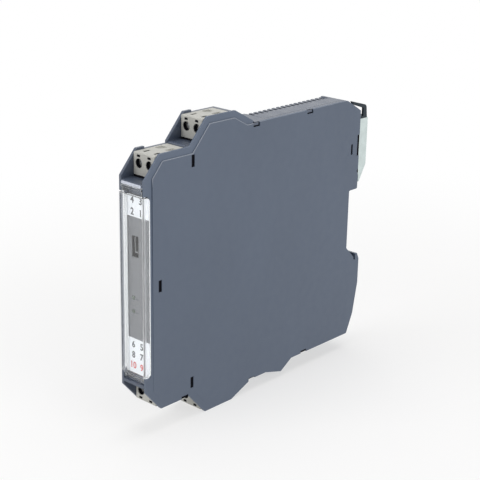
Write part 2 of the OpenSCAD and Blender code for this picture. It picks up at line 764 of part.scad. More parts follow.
module lamp(index) color("#b9d7b0") in_frame() {
    z = -lamp_z - index * lamp_pitch;
    back = front_wall_d + wall + lamp_gap;
    rod_y(lamp_x, z, lamp_r, panel_d, back + lamp_foot);
    box([board_x1, back, z - lamp_r], [lamp_x + lamp_r, back + lamp_foot, z + lamp_r]);
}

module circuit_board() color("#2f6b45") in_frame() difference() {
    slab(board_pts, board_x0, board_x1);
    for (share = peg_shares)
        rod_x(on_side(share).x, on_side(share).y, peg_r + peg_gap, board_x0 - cut, board_x1 + cut);
}

module transformer() color("#2b2d33") in_frame() {
    spot = on_side(transformer_shares);
    core_x = board_x1 + (transformer_t - core_t) / 2;
    box(
        [board_x1, spot.x - transformer_l / 2 + core_t / 2, spot.y - transformer_h / 2],
        [board_x1 + transformer_t, spot.x + transformer_l / 2 - core_t / 2, spot.y + transformer_h / 2]
    );
    box(
        [core_x, spot.x - transformer_l / 2, spot.y - transformer_h / 2 + core_t / 2],
        [core_x + core_t, spot.x + transformer_l / 2, spot.y + transformer_h / 2 - core_t / 2]
    );
}

module capacitors() color("#3a4a63") in_frame()
    for (share = capacitor_shares)
        rod_x(on_side(share).x, on_side(share).y, capacitor_r, board_x1, board_x1 + capacitor_l);

module coupler_chips() color("#1f2125") in_frame()
    for (share = chip_shares) translate([board_x1, on_side(share).x, on_side(share).y])
        translate([0, -chip_w / 2, -chip_l / 2]) cube([chip_t, chip_w, chip_l]);

module foot_catch() color("#c9d3d2") in_frame() difference() {
    slab([
        [catch_y, catch_top_z],
        [catch_rear, catch_top_z],
        [catch_rear, catch_taper_z],
        [body_d + flange_slot + hook_tip_t, hook_z],
        [body_d + flange_slot, hook_z],
        [body_d + flange_slot, rail_half_h + hook_step_gap],
        [catch_y, rail_half_h + hook_step_gap]
    ], -catch_w / 2, catch_w / 2);
    box(
        [catch_t - catch_w / 2, catch_y - cut, hook_z - cut],
        [catch_w / 2 - catch_t, catch_rear - catch_t, catch_top_z + cut]
    );
    box(
        [catch_t - catch_w / 2, catch_y - cut, hook_z - cut],
        [catch_w / 2 - catch_t, catch_rear + cut, catch_taper_z]
    );
}

module catch_slider() color("#2d3742") in_frame() {
    cap_z = catch_top_z + cap_t;
    leg_front = catch_rear - loop_leg_t;
    leg_top = cap_z + loop_h;
    arm_front = body_d - shoulder_d / 2;
    arm_low = bevel_z(arm_front) + loop_end_gap;
    loop_x = catch_w / 2 - loop_w;
    difference() {
        union() {
            box(
                [-slider_w / 2, catch_y, catch_top_z - slider_h],
                [slider_w / 2, slider_rear, catch_top_z + cut]
            );
            box([-catch_w / 2, catch_y, catch_top_z], [catch_w / 2, catch_rear, cap_z]);
        }
        box(
            [-rib_neck - rib_gap, catch_y - cut, catch_top_z - slider_h - cut],
            [rib_neck + rib_gap, body_d + rib_step, rib_top_z + rib_gap]
        );
        box(
            [-rib_head - rib_gap, body_d + rib_step - rib_gap, catch_top_z - slider_h - cut],
            [rib_head + rib_gap, body_d + 2 * rib_step + rib_gap, rib_top_z + rib_gap]
        );
    }
    slab([
        [arm_front, arm_low],
        [arm_front - loop_arm_t * loop_lean_share, arm_low + loop_arm_t],
        [catch_rear, leg_top],
        [catch_rear, cap_z - cut],
        [leg_front, cap_z - cut],
        [leg_front, leg_top - loop_arm_t + (arm_low - leg_top + loop_arm_t) * loop_bend_share]
    ], loop_x, catch_w / 2);
}

// Height of the bevel between the ridge and the rear edge
function bevel_z(d) = ridge_z - (d - ridge_end_d) * shoulder_h / shoulder_d;

// Plug housing, with its face at depth 0 and its underside at height 0
module plug_body() color("#c6c5bf") difference() {
    slab([
        [0, 0],
        [0, plug_h - plug_bevel],
        [plug_bevel, plug_h],
        [plug_l, plug_h],
        [plug_l, 0]
    ], -plug_w / 2, plug_w / 2);
    for (pole = POLES) plug_pole(pole_x(pole));
}

// Everything that is cut from a plug for one pole
module plug_pole(x) {
    jaw_y = bar_y + bar_t;
    rod_y(x, screw_z, screw_hole_r, -cut, screw_hole_l);
    rod_y(x, screw_z, thread_r + thread_gap, 0, chamber_y + cut);
    rod_y(x, plug_h - test_hole_drop, test_hole_r, -cut, test_hole_l);
    box(
        [x - top_slot_w / 2, top_slot_inset, plug_h - top_slot_t],
        [x + top_slot_w / 2, top_slot_inset + top_slot_l, plug_h + cut]
    );
    box(
        [x - chamber_w / 2, chamber_y, chamber_z],
        [x + chamber_w / 2, chamber_y + chamber_l, chamber_z + chamber_h]
    );
    funnel(x, jaw_y);
    contact_shape(x, cut);
    pin_box(x, pin_gap, plug_l - pin_reach - pin_gap, plug_l + cut, 0);
}

// Wire funnel: a wide mouth over a narrower well into the chamber
module funnel(x, y) {
    lip = plug_skin / 2;
    well_w = bar_w;
    well_l = cage_window - bar_gap - bar_t;
    middle = y + well_l / 2;
    box([x - well_w / 2, y, chamber_z + chamber_h - cut], [x + well_w / 2, y + well_l, plug_h + cut]);
    box(
        [x - funnel_w / 2, middle - funnel_l / 2, plug_h - lip],
        [x + funnel_w / 2, middle + funnel_l / 2, plug_h + cut]
    );
}

// Contact bar and strip of one pole, grown by g
module contact_shape(x, g) {
    box([x - bar_w / 2 - g, bar_y - g, bar_low_z - g], [x + bar_w / 2 + g, bar_y + bar_t + g, bar_top_z + g]);
    box(
        [x - pin_w / 2 - g, bar_y - g, bar_low_z - g],
        [x + pin_w / 2 + g, bar_y + strip_l + g, bar_low_z + strip_t + g]
    );
}

module contacts() color("#b9b4a6") for (pole = POLES) contact_shape(pole_x(pole), 0);

// Header block on the board behind a pocket, in a plug's own place
module header() color("#23252a") {
    front = plug_l + plug_seat_gap + wall;
    difference() {
        box([board_x1, front, 0], [inner_x - header_gap, front + header_l, header_h]);
        for (pole = POLES) pin_box(pole_x(pole), 0, front - cut, front + header_l + cut, 0);
    }
}

module pins() color("#b8a878") for (pole = POLES) pin_box(
    pole_x(pole), 0, plug_l - pin_reach, plug_l + plug_seat_gap + wall + header_l, 0
);

// Clamp screw with its head behind the plug's face
module screw(x) color("#b4b6b8") {
    head_y = screw_hole_l - screw_end_gap - head_l;
    difference() {
        union() {
            rod_y(x, screw_z, head_r, head_y, head_y + head_l);
            rod_y(x, screw_z, thread_r, head_y + head_l / 2, screw_tip_y);
        }
        box(
            [x - driver_w / 2, head_y - cut, screw_z - head_r],
            [x + driver_w / 2, head_y + driver_t, screw_z + head_r]
        );
    }
}

// Clamp cage round the wire, open at rest
module clamp(x) color("#a9abad") {
    length = cage_front_t + cage_window + cage_jaw_t;
    difference() {
        box(
            [x - cage_w / 2, cage_y, screw_z - cage_h / 2],
            [x + cage_w / 2, cage_y + length, screw_z + cage_h / 2]
        );
        box(
            [x + cage_side_t - cage_w / 2, cage_y + cage_front_t, screw_z - cage_h],
            [x - cage_side_t + cage_w / 2, cage_y + cage_front_t + cage_window, screw_z + cage_h]
        );
        rod_y(x, screw_z, thread_r + thread_gap, cage_y - cut, cage_y + cage_front_t + cut);
    }
}

main_shell();
side_cover();
front_cover();
label_panel();
label_top();
label_low();
port_socket();
lamp(0);  // lamp_upper
lamp(1);  // lamp_lower
circuit_board();
transformer();
capacitors();
coupler_chips();
foot_catch();
catch_slider();
for (place = PLUGS) {
    at_plug(place) plug_body();
    at_plug(place) contacts();
    at_plug(place) header();
    at_plug(place) pins();
    for (pole = POLES) {
        at_plug(place) screw(pole_x(pole));
        at_plug(place) clamp(pole_x(pole));
    }
}
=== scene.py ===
import logging
import math
from collections.abc import Callable, Sequence
from dataclasses import dataclass
from enum import Enum

import bmesh
import bpy
from mathutils import Matrix, Vector


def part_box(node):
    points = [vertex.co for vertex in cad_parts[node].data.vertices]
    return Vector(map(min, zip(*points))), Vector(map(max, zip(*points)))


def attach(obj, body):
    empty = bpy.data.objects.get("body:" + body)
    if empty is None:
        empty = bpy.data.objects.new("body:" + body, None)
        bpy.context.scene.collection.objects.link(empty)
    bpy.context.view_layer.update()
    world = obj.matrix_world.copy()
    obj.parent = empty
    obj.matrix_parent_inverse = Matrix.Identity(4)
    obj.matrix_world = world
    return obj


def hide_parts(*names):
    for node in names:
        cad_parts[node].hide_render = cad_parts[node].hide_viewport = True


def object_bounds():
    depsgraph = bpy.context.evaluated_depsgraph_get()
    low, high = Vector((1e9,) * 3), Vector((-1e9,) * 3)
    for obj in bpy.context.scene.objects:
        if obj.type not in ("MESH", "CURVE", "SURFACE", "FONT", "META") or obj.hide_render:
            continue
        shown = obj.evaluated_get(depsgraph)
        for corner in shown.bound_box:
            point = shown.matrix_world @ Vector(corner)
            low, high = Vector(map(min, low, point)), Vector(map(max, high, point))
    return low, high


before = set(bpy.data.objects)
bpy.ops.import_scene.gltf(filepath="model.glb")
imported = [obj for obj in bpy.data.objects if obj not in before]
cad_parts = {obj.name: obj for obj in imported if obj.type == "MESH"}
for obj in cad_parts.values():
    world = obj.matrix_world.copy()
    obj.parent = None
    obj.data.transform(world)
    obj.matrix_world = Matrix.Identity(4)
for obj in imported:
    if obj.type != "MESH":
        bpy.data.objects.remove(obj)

CAD_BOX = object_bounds()
MM = 0.001
NOISE_RANGE = (0.3, 0.7)
Colour = tuple[float, float, float]
Point = Sequence[float]
Piece = bpy.types.Object
Socket = bpy.types.NodeSocket
Element = bmesh.types.BMVert | bmesh.types.BMEdge | bmesh.types.BMFace
Test = Callable[[Vector, Vector, Element], bool]
logging.basicConfig(level=logging.INFO, format="%(name)s: %(message)s")
log = logging.getLogger("isolator")


class Slot(Enum):
    """Material slots of the record."""

    HOUSING = "housing_plastic"
    CLEAR = "clear_plastic"
    PANEL = "panel_grey"
    LABEL = "label_white"
    BLACK = "black_plastic"
    LENS = "lamp_lens"
    BOARD = "board_green"
    SLEEVE = "capacitor_sleeve"
    ZINC = "zinc_steel"
    SLIDER = "slider_plastic"
    TERMINAL = "terminal_plastic"
    TINNED = "tinned_brass"
    SCREW = "screw_steel"


class Pick(Enum):
    """What a selection in edit mode takes."""

    VERTS = "VERT"
    EDGES = "EDGE"
    FACES = "FACE"


# ---------------------------------------------------------------- finishes


class NodeBench:
    """One material's node tree, built round a Principled shader on Object coordinates."""

    def __init__(self, name: str) -> None:
        """Starts an empty tree.

        Args:
            name: Name of the material.
        """
        self.material = bpy.data.materials.new(name)
        self.material.use_nodes = True
        self.tree = self.material.node_tree
        self.tree.nodes.clear()
        self.shader = self.add("ShaderNodeBsdfPrincipled")
        self.output = self.add("ShaderNodeOutputMaterial")
        self.join(self.shader.outputs["BSDF"], self.output.inputs["Surface"])
        self.place = self.add("ShaderNodeTexCoord").outputs["Object"]

    def add(self, kind: str) -> bpy.types.Node:
        """Adds a node of that kind."""
        return self.tree.nodes.new(kind)

    def join(self, out: Socket, into: Socket) -> None:
        """Links two sockets."""
        self.tree.links.new(out, into)

    def set(self, **values: float | tuple) -> None:
        """Sets the shader's own sockets.

        Args:
            **values: Socket names, with an underscore for each space, and their values.
        """
        for key, value in values.items():
            socket = self.shader.inputs[key.replace("_", " ")]
            socket.default_value = (*value, 1) if isinstance(value, tuple) else value

    def stretched(self, scale: Point) -> Socket:
        """Gives the place, scaled along each axis.

        Args:
            scale: The three factors.

        Returns:
            The socket with the scaled place.
        """
        mapping = self.add("ShaderNodeMapping")
        mapping.inputs["Scale"].default_value = scale
        self.join(self.place, mapping.inputs["Vector"])
        return mapping.outputs["Vector"]

    def noise(self, size_mm: float, detail: float, place: Socket | None = None) -> Socket:
        """Adds noise.

        Args:
            size_mm: Size of its largest features.
            detail: Number of finer octaves.
            place: Coordinates to use in place of the plain ones.

        Returns:
            The socket with the factor, about 0.3 to 0.7.
        """
        node = self.add("ShaderNodeTexNoise")
        node.inputs["Scale"].default_value = 1 / (size_mm * MM)
        node.inputs["Detail"].default_value = detail
        self.join(place or self.place, node.inputs["Vector"])
        return node.outputs[0]

    def cells(self, size_mm: float) -> Socket:
        """Adds cells.

        Args:
            size_mm: Size of a cell.

        Returns:
            The socket with the distance to the nearest cell's middle.
        """
        node = self.add("ShaderNodeTexVoronoi")
        node.inputs["Scale"].default_value = 1 / (size_mm * MM)
        self.join(self.place, node.inputs["Vector"])
        return node.outputs["Distance"]

    def remap(
        self,
        factor: Socket,
        source: tuple[float, float],
        result: tuple[float, float],
        curve: str = "LINEAR",
    ) -> Socket:
        """Maps a factor from one range to another.

        Args:
            factor: The factor.
            source: Its lowest and highest value.
            result: What these two become.
            curve: Blender's name for the way between them.

        Returns:
            The socket with the mapped value.
        """
        node = self.add("ShaderNodeMapRange")
        node.interpolation_type = curve
        for key, value in zip(("From Min", "From Max", "To Min", "To Max"), (*source, *result)):
            node.inputs[key].default_value = value
        self.join(factor, node.inputs["Value"])
        return node.outputs["Result"]

    def ramp(self, factor: Socket, stops: Sequence[tuple[float, Colour]]) -> Socket:
        """Maps a factor to colours.

        Args:
            factor: The factor.
            stops: Place and colour of each stop.

        Returns:
            The socket with the colour.
        """
        node = self.add("ShaderNodeValToRGB")
        elements = node.color_ramp.elements
        while len(elements) < len(stops):
            elements.new(0.5)
        for element, (place, colour) in zip(elements, stops):
            element.position = place
            element.color = (*colour, 1)
        self.join(factor, node.inputs["Fac"])
        return node.outputs["Color"]

    def tint(self, factor: Socket, colour: Colour, drift: float) -> None:
        """Colours the surface, lighter and darker with the factor.

        Args:
            factor: The noise that the colour follows.
            colour: The middle colour.
            drift: Share by which it changes to either side.
        """
        dark = tuple(c * (1 - drift) for c in colour)
        light = tuple(min(1.0, c * (1 + drift)) for c in colour)
        stops = list(zip(NOISE_RANGE, (dark, light)))
        self.join(self.ramp(factor, stops), self.shader.inputs["Base Color"])

    def gloss(self, factor: Socket, low: float, high: float) -> None:
        """Lets the roughness follow the factor between two values."""
        level = self.remap(factor, NOISE_RANGE, (low, high))
        self.join(level, self.shader.inputs["Roughness"])

    def relief(self, heights: Sequence[tuple[Socket, float]]) -> None:
        """Adds bumps to the surface.

        Args:
            heights: Each factor and the height it stands for, in millimetres.
        """
        normal = None
        for factor, height_mm in heights:
            bump = self.add("ShaderNodeBump")
            bump.inputs["Distance"].default_value = height_mm * MM
            self.join(factor, bump.inputs["Height"])
            if normal is not None:
                self.join(normal, bump.inputs["Normal"])
            normal = bump.outputs["Normal"]
        self.join(normal, self.shader.inputs["Normal"])


@dataclass(frozen=True)
class Finish:
    """What a surface is made of, and the record's slot that it stands for."""

    name: str
    slot: Slot
    colour: Colour

    def make(self) -> bpy.types.Material:
        """Builds the material."""
        bench = NodeBench(self.name)
        self.lay(bench)
        return bench.material

    def lay(self, bench: NodeBench) -> None:
        """Lays the finish's own nodes."""
        raise NotImplementedError


@dataclass(frozen=True)
class MouldedPlastic(Finish):
    """Injection-moulded plastic with a fine spark-eroded grain."""

    roughness: float = 0.5
    grain_mm: float = 0.22
    grain_height_mm: float = 0.004
    drift: float = 0.05
    specular: float = 0.5

    def lay(self, bench: NodeBench) -> None:
        """Lays the nodes."""
        flow = bench.noise(28, 3, bench.stretched((1, 1, 0.45)))
        grain = bench.noise(self.grain_mm, 3)
        scuff = bench.noise(3.2, 4)
        bench.tint(flow, self.colour, self.drift)
        bench.gloss(scuff, self.roughness - 0.05, self.roughness + 0.06)
        bench.relief([(grain, self.grain_height_mm), (flow, 0.03)])
        bench.set(IOR=1.5, Specular_IOR_Level=self.specular)


@dataclass(frozen=True)
class FieldedPlastic(Finish):
    """Moulded plastic whose rim, below the raised field, is painted paler: a painted highlight of
    the top light that the sunk rim catches.
    """

    field_x_mm: float
    rim_highlight_gain: float
    roughness: float = 0.5
    drift: float = 0.04

    def lay(self, bench: NodeBench) -> None:
        """Lays the nodes."""
        flow = bench.noise(30, 3, bench.stretched((1, 1, 0.5)))
        grain = bench.noise(0.24, 3)
        scuff = bench.noise(3.2, 4)
        split = bench.add("ShaderNodeSeparateXYZ")
        bench.join(bench.place, split.inputs["Vector"])
        edge = [(self.field_x_mm + side) * MM for side in (-0.02, 0.02)]
        level = bench.remap(split.outputs["X"], edge, (0, 1))
        shares = list(zip(NOISE_RANGE, (1 - self.drift, 1 + self.drift)))
        # The rim's colours are the field's colours raised by the gain, as a painted highlight.
        raised, rim = (
            bench.ramp(flow, [(at, tuple(c * s * gain for c in self.colour)) for at, s in shares])
            for gain in (1.0, self.rim_highlight_gain)
        )
        mix = bench.add("ShaderNodeMix")
        mix.data_type = "RGBA"
        for socket, index in ((level, 0), (rim, 6), (raised, 7)):
            bench.join(socket, mix.inputs[index])
        bench.join(mix.outputs[2], bench.shader.inputs["Base Color"])
        bench.gloss(scuff, self.roughness - 0.05, self.roughness + 0.06)
        bench.relief([(grain, 0.005), (flow, 0.03)])
        bench.set(IOR=1.5)


@dataclass(frozen=True)
class ClearPlastic(Finish):
    """Clear polycarbonate that lets the lamps' light through to what it covers."""

    transmission: float = 1.0
    roughness: float = 0.02
    light_through: float = 0.9

    def lay(self, bench: NodeBench) -> None:
        """Lays the nodes."""
        wave = bench.noise(9, 1)
        haze = bench.noise(2.5, 3)
        bench.gloss(haze, self.roughness, self.roughness + 0.03)
        bench.relief([(wave, 0.02)])
        bench.set(Base_Color=self.colour, IOR=1.49, Specular_IOR_Level=0.35)
        bench.set(Transmission_Weight=self.transmission)
        path = bench.add("ShaderNodeLightPath")
        alpha = bench.remap(path.outputs["Is Shadow Ray"], (0, 1), (1, 1 - self.light_through))
        bench.join(alpha, bench.shader.inputs["Alpha"])


@dataclass(frozen=True)
class PlatedMetal(Finish):
    """Plated sheet or turned metal with a mottled sheen and fine drawing lines."""

    roughness: float
    lines: tuple[float, float, float] = (1, 1, 0.06)

    def lay(self, bench: NodeBench) -> None:
        """Lays the nodes."""
        spangle = bench.noise(2.4, 3)
        drawn = bench.noise(0.35, 3, bench.stretched(self.lines))
        bench.tint(spangle, self.colour, 0.06)
        bench.gloss(drawn, self.roughness - 0.08, self.roughness + 0.1)
        bench.relief([(drawn, 0.003), (spangle, 0.01)])
        bench.set(Metallic=1.0)


@dataclass(frozen=True)
class PrintedFilm(Finish):
    """Satin printed film with a faint dot grain."""

    roughness: float = 0.45

    def lay(self, bench: NodeBench) -> None:
        """Lays the nodes."""
        dots = bench.cells(0.16)
        cloud = bench.noise(14, 2)
        bench.tint(cloud, self.colour, 0.035)
        bench.gloss(cloud, self.roughness - 0.04, self.roughness + 0.05)
        bench.relief([(dots, 0.0015)])
        bench.set(Specular_IOR_Level=0.4)


@dataclass(frozen=True)
class BoardLacquer(Finish):
    """Green solder lacquer over etched tracks."""

    def lay(self, bench: NodeBench) -> None:
        """Lays the nodes."""
        track = bench.cells(3.1)
        weave = bench.noise(0.5, 2)
        light = tuple(c * 1.7 for c in self.colour)
        colour = bench.ramp(track, [(0.42, self.colour), (0.5, light)])
        bench.join(colour, bench.shader.inputs["Base Color"])
        bench.gloss(weave, 0.28, 0.4)
        bench.relief([(track, 0.03), (weave, 0.004)])
        bench.set(Coat_Weight=0.3, Coat_Roughness=0.15)


@dataclass(frozen=True)
class LampLens(Finish):
    """Unlit tinted lamp lens."""

    def lay(self, bench: NodeBench) -> None:
        """Lays the nodes."""
        milk = bench.noise(0.6, 2)
        bench.tint(milk, self.colour, 0.15)
        bench.gloss(milk, 0.15, 0.25)
        bench.set(Transmission_Weight=0.35, IOR=1.5, Coat_Weight=0.4)


HOUSING = MouldedPlastic("housing_blue_grey", Slot.HOUSING, (0.074, 0.092, 0.131), 0.30)
# Side cover plastic; its rim outside the raised field is painted paler as a painted highlight.
SIDE = FieldedPlastic("side_cover_blue_grey", Slot.HOUSING, (0.083, 0.107, 0.152), 6.1, 1.1)
# Pale colour of the side cover's rounded upper borders and outline: a painted highlight.
EDGE = MouldedPlastic("housing_painted_edge_highlight", Slot.HOUSING, (0.24, 0.262, 0.305), 0.35)
TERMINAL, SHADED_TERMINAL, BLACK, PAINTED_SHADE_BLACK, SLIDER = (
    MouldedPlastic(name, slot, colour, roughness, grain, 0.003, drift, specular)
    for name, slot, colour, roughness, grain, drift, specular in (
        ("terminal_warm_grey", Slot.TERMINAL, (0.47, 0.465, 0.43), 0.5, 0.18, 0.03, 0.35),
        # Terminal grey darkened as painted shade for the sunk wire gates.
        ("terminal_painted_shade_grey", Slot.TERMINAL, (0.37, 0.365, 0.335), 0.5, 0.18, 0.03, 0.3),
        ("black_thermoset", Slot.BLACK, (0.010, 0.010, 0.012), 0.45, 0.2, 0.1, 0.3),
        # Near-black that paints the deep shade in slots, holes, wells and the port's mouth.
        ("deep_shade_black", Slot.BLACK, (0.004, 0.004, 0.007), 0.8, 0.2, 0.1, 0.1),
        ("slider_dark_slate", Slot.SLIDER, (0.012, 0.021, 0.029), 0.5, 0.2, 0.08, 0.3),
    )
)
SLEEVE = MouldedPlastic(
    "capacitor_shrink_sleeve", Slot.SLEEVE, (0.03, 0.055, 0.12), 0.3, 0.4, 0.002, 0.08
)
WATER_WHITE = (0.97, 0.985, 0.99)
CLEAR, MATT_AND_HIGHLIGHT, CORNER_SHADE, CORNER_HIGHLIGHT, TAB_MATT_AND_HIGHLIGHT = (
    ClearPlastic(name, Slot.CLEAR, colour, *values)
    for name, colour, *values in (
        ("clear_polycarbonate", WATER_WHITE),
        # Matt, with a white share that paints the bright edge highlights.
        ("clear_edge_matt", WATER_WHITE, 0.35, 0.45),
        # Painted shade on the cover's far front corner.
        ("clear_corner_shade", (0.30, 0.32, 0.36), 0.55, 0.3, 0.6),
        # Painted highlight on the cover's near front corner.
        ("clear_corner_haze", (0.86, 0.88, 0.90), 0.85, 0.32, 0.8),
        # Matt, with a pale lavender share that paints the highlight on the tab's top.
        ("clear_tab_matt", (0.72, 0.75, 0.83), 0.4, 0.45, 0.6),
    )
)
ZINC, STEEL, ALUMINIUM, COPPER, SCREW, TINNED = (
    PlatedMetal(name, slot, colour, *values)
    for name, slot, colour, *values in (
        ("zinc_plated_sheet", Slot.ZINC, (0.56, 0.63, 0.62), 0.42),
        ("bright_steel", Slot.ZINC, (0.62, 0.63, 0.64), 0.35),
        ("capacitor_top_aluminium", Slot.ZINC, (0.60, 0.61, 0.62), 0.36),
        ("winding_copper", Slot.BLACK, (0.55, 0.24, 0.12), 0.36, (1, 0.04, 1)),
        ("zinc_plated_screw", Slot.SCREW, (0.74, 0.76, 0.77), 0.42, (1, 0.2, 1)),
        ("tinned_contact", Slot.TINNED, (0.70, 0.66, 0.55), 0.3, (1, 0.2, 1)),
    )
)
PANEL, LABEL, INK_DARK, INK_RED, MARK = (
    PrintedFilm(name, slot, colour, *values)
    for name, slot, colour, *values in (
        ("front_panel_grey", Slot.PANEL, (0.183, 0.186, 0.198)),
        ("number_field_white", Slot.LABEL, (0.85, 0.865, 0.895)),
        ("number_ink_dark", Slot.LABEL, (0.055, 0.055, 0.065), 0.5),
        ("number_ink_red", Slot.LABEL, (0.62, 0.07, 0.07), 0.5),
        ("panel_mark_grey", Slot.PANEL, (0.085, 0.087, 0.095), 0.5),
    )
)
BOARD = BoardLacquer("board_lacquer", Slot.BOARD, (0.02, 0.14, 0.06))
LENS = LampLens("lamp_lens_unlit", Slot.LENS, (0.10, 0.13, 0.10))


class PaintShop:
    """Makes each finish once and gives it to whatever asks for it."""

    def __init__(self) -> None:
        """Starts with no finish made."""
        self._made: dict[str, bpy.types.Material] = {}

    def get(self, finish: Finish) -> bpy.types.Material:
        """Gives the material of a finish, made on first use."""
        if finish.name not in self._made:
            self._made[finish.name] = finish.make()
        return self._made[finish.name]


# ------------------------------------------------------------- workbench


def middle_and_way(part: Element) -> tuple[Vector, Vector]:
    """Gives a part's middle in millimetres and its normal, or an edge's direction.

    Args:
        part: A corner, edge or face.

    Returns:
        The middle and the way.
    """
    if isinstance(part, bmesh.types.BMEdge):
        a, b = (v.co for v in part.verts)
        return (a + b) / 2 / MM, (b - a).normalized()
    middle = part.co if isinstance(part, bmesh.types.BMVert) else part.calc_center_median()
    return middle / MM, part.normal


def looks(axis: str, sign: int = 1) -> Test:
    """Gives a test for faces that look along an axis."""
    return lambda c, n, e: getattr(n, axis) * sign > 0.9


def runs(axis: str) -> Test:
    """Gives a test for edges that run along an axis."""
    return lambda c, d, e: abs(getattr(d, axis)) > 0.9


class Workbench:
    """Models pieces with Blender's own tools, in millimetres, and hands them over."""

    digit_weight = 0.022
    digit_narrowing = 0.94

    def __init__(self, paints: PaintShop) -> None:
        """Starts a bench.

        Args:
            paints: Where the finishes come from.
        """
        self.paints = paints

    # Selection and modes

    def only(self, piece: Piece) -> None:
        """Makes a piece the only selected one and the active one."""
        if bpy.context.mode != "OBJECT":
            bpy.ops.object.mode_set(mode="OBJECT")
        bpy.ops.object.select_all(action="DESELECT")
        piece.select_set(True)
        bpy.context.view_layer.objects.active = piece

    def open(self, piece: Piece) -> None:
        """Goes into edit mode on a piece with nothing selected."""
        self.only(piece)
        bpy.ops.object.mode_set(mode="EDIT")
        bpy.ops.mesh.select_all(action="DESELECT")

    def close(self) -> None:
        """Leaves edit mode."""
        bpy.ops.object.mode_set(mode="OBJECT")

    def pick(self, kind: Pick, test: Test) -> int:
        """Selects parts of the open piece.

        Args:
            kind: What is selected.
            test: Takes a part's middle in millimetres, its normal (for an edge its
                direction) and the part itself, and says whether it is taken.

        Returns:
            How many parts are selected.
        """
        bpy.ops.mesh.select_mode(type=kind.value)
        bpy.ops.mesh.select_all(action="DESELECT")
        mesh = bmesh.from_edit_mesh(bpy.context.edit_object.data)
        parts = {Pick.VERTS: mesh.verts, Pick.EDGES: mesh.edges, Pick.FACES: mesh.faces}[kind]
        taken = [part for part in parts if test(*middle_and_way(part), part)]
        for part in taken:
            part.select_set(True)
        bmesh.update_edit_mesh(bpy.context.edit_object.data)
        return len(taken)

    # Primitives, placed in the model's frame

    def block(self, name: str, low: Point, high: Point) -> Piece:
        """Adds a block.

        Args:
            name: Name of the piece.
            low: Its lower corner.
            high: Its upper corner.

        Returns:
            The block.
        """
        low, high = Vector(low) * MM, Vector(high) * MM
        bpy.ops.object.select_all(action="DESELECT")
        bpy.ops.mesh.primitive_cube_add(size=1, location=(low + high) / 2)
        piece = bpy.context.active_object
        piece.name = name
        piece.scale = high - low
        self.settle(piece)
        return piece

    def disc(
        self, name: str, middle: Point, radius: float, axis: str = "Y", sides: int = 32
    ) -> Piece:
        """Adds a filled circle across an axis.

        Args:
            name: Name of the piece.
            middle: Its middle.
            radius: Its radius.
            axis: The axis it stands across.
            sides: Number of sides.

        Returns:
            The disc.
        """
        turn = {"X": (0, math.pi / 2, 0), "Y": (math.pi / 2, 0, 0), "Z": (0, 0, 0)}[axis]
        bpy.ops.object.select_all(action="DESELECT")
        bpy.ops.mesh.primitive_circle_add(
            vertices=sides,
            radius=radius * MM,
            fill_type="NGON",
            location=Vector(middle) * MM,
            rotation=turn,
        )
        piece = bpy.context.active_object
        piece.name = name
        self.settle(piece)
        return piece

    def turned(
        self,
        name: str,
        start: Point,
        profile: Sequence[tuple[float, float]],
        axis: str = "Y",
        sides: int = 32,
    ) -> Piece:
        """Turns a solid from a profile by extruding and resizing a circle.

        Args:
            name: Name of the piece.
            start: Point on the axis where distances are counted from.
            profile: Distance along the axis and radius of each ring, first to last.
            axis: The axis it is turned about.
            sides: Number of sides.

        Returns:
            The solid.
        """
        way = Vector([float(axis == a) for a in "XYZ"])
        first = Vector(start) + way * profile[0][0]
        piece = self.disc(name, first, profile[0][1], axis, sides)
        self.open(piece)
        bpy.ops.mesh.select_mode(type="FACE")
        bpy.ops.mesh.select_all(action="SELECT")
        for (d0, r0), (d1, r1) in zip(profile, profile[1:]):
            step = way * (d1 - d0) * MM
            bpy.ops.mesh.extrude_region_move(TRANSFORM_OT_translate={"value": step})
            share = r1 / r0
            bpy.ops.transform.resize(
                value=[1 if w else share for w in way],
                center_override=(Vector(start) + way * d1) * MM,
            )
        self.close()
        self.seal(piece)
        return piece

    def number(
        self, name: str, text: str, height: float, middle: Point, thickness: float
    ) -> Piece:
        """Makes raised digits that face the front.

        Args:
            name: Name of the piece.
            text: The digits.
            height: Their height.
            middle: Their middle, on the surface they stand on.
            thickness: How far they stand out.

        Returns:
            The digits as a mesh.
        """
        bpy.ops.object.select_all(action="DESELECT")
        bpy.ops.object.text_add()
        piece = bpy.context.active_object
        piece.name = name
        piece.data.body = text
        piece.data.size = 1.0
        piece.data.offset = self.digit_weight
        piece.data.extrude = 0.5
        self.only(piece)
        bpy.ops.object.convert(target="MESH")
        corners = [Vector(c) for c in piece.bound_box]
        low = Vector(min(c[i] for c in corners) for i in range(3))
        high = Vector(max(c[i] for c in corners) for i in range(3))
        tall = high.y - low.y
        piece.data.transform(Matrix.Translation(-(low + high) / 2))
        across = height / tall * MM
        narrow = across * self.digit_narrowing
        piece.data.transform(Matrix.Diagonal((narrow, across, thickness * MM, 1)))
        piece.data.transform(Matrix.Rotation(math.pi / 2, 4, "X"))
        piece.location = (Vector(middle) - Vector((0, thickness / 2, 0))) * MM
        self.settle(piece)
        self.seal(piece)
        return piece

    def reworked(self, name: str, node: str) -> Piece:
        """Copies a CAD node's mesh, merged, as the start of a piece that replaces it.

        Args:
            name: Name of the piece.
            node: The node it starts from and stands for.

        Returns:
            The piece.
        """
        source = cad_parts[node]
        piece = bpy.data.objects.new(name, source.data.copy())
        bpy.context.scene.collection.objects.link(piece)
        piece.data.materials.clear()
        self.open(piece)
        bpy.ops.mesh.select_mode(type="VERT")
        bpy.ops.mesh.select_all(action="SELECT")
        bpy.ops.mesh.remove_doubles(threshold=0.002 * MM)
        bpy.ops.mesh.dissolve_limited(angle_limit=math.radians(0.5))
        self.close()
        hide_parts(node)
        return piece

    # Shaping

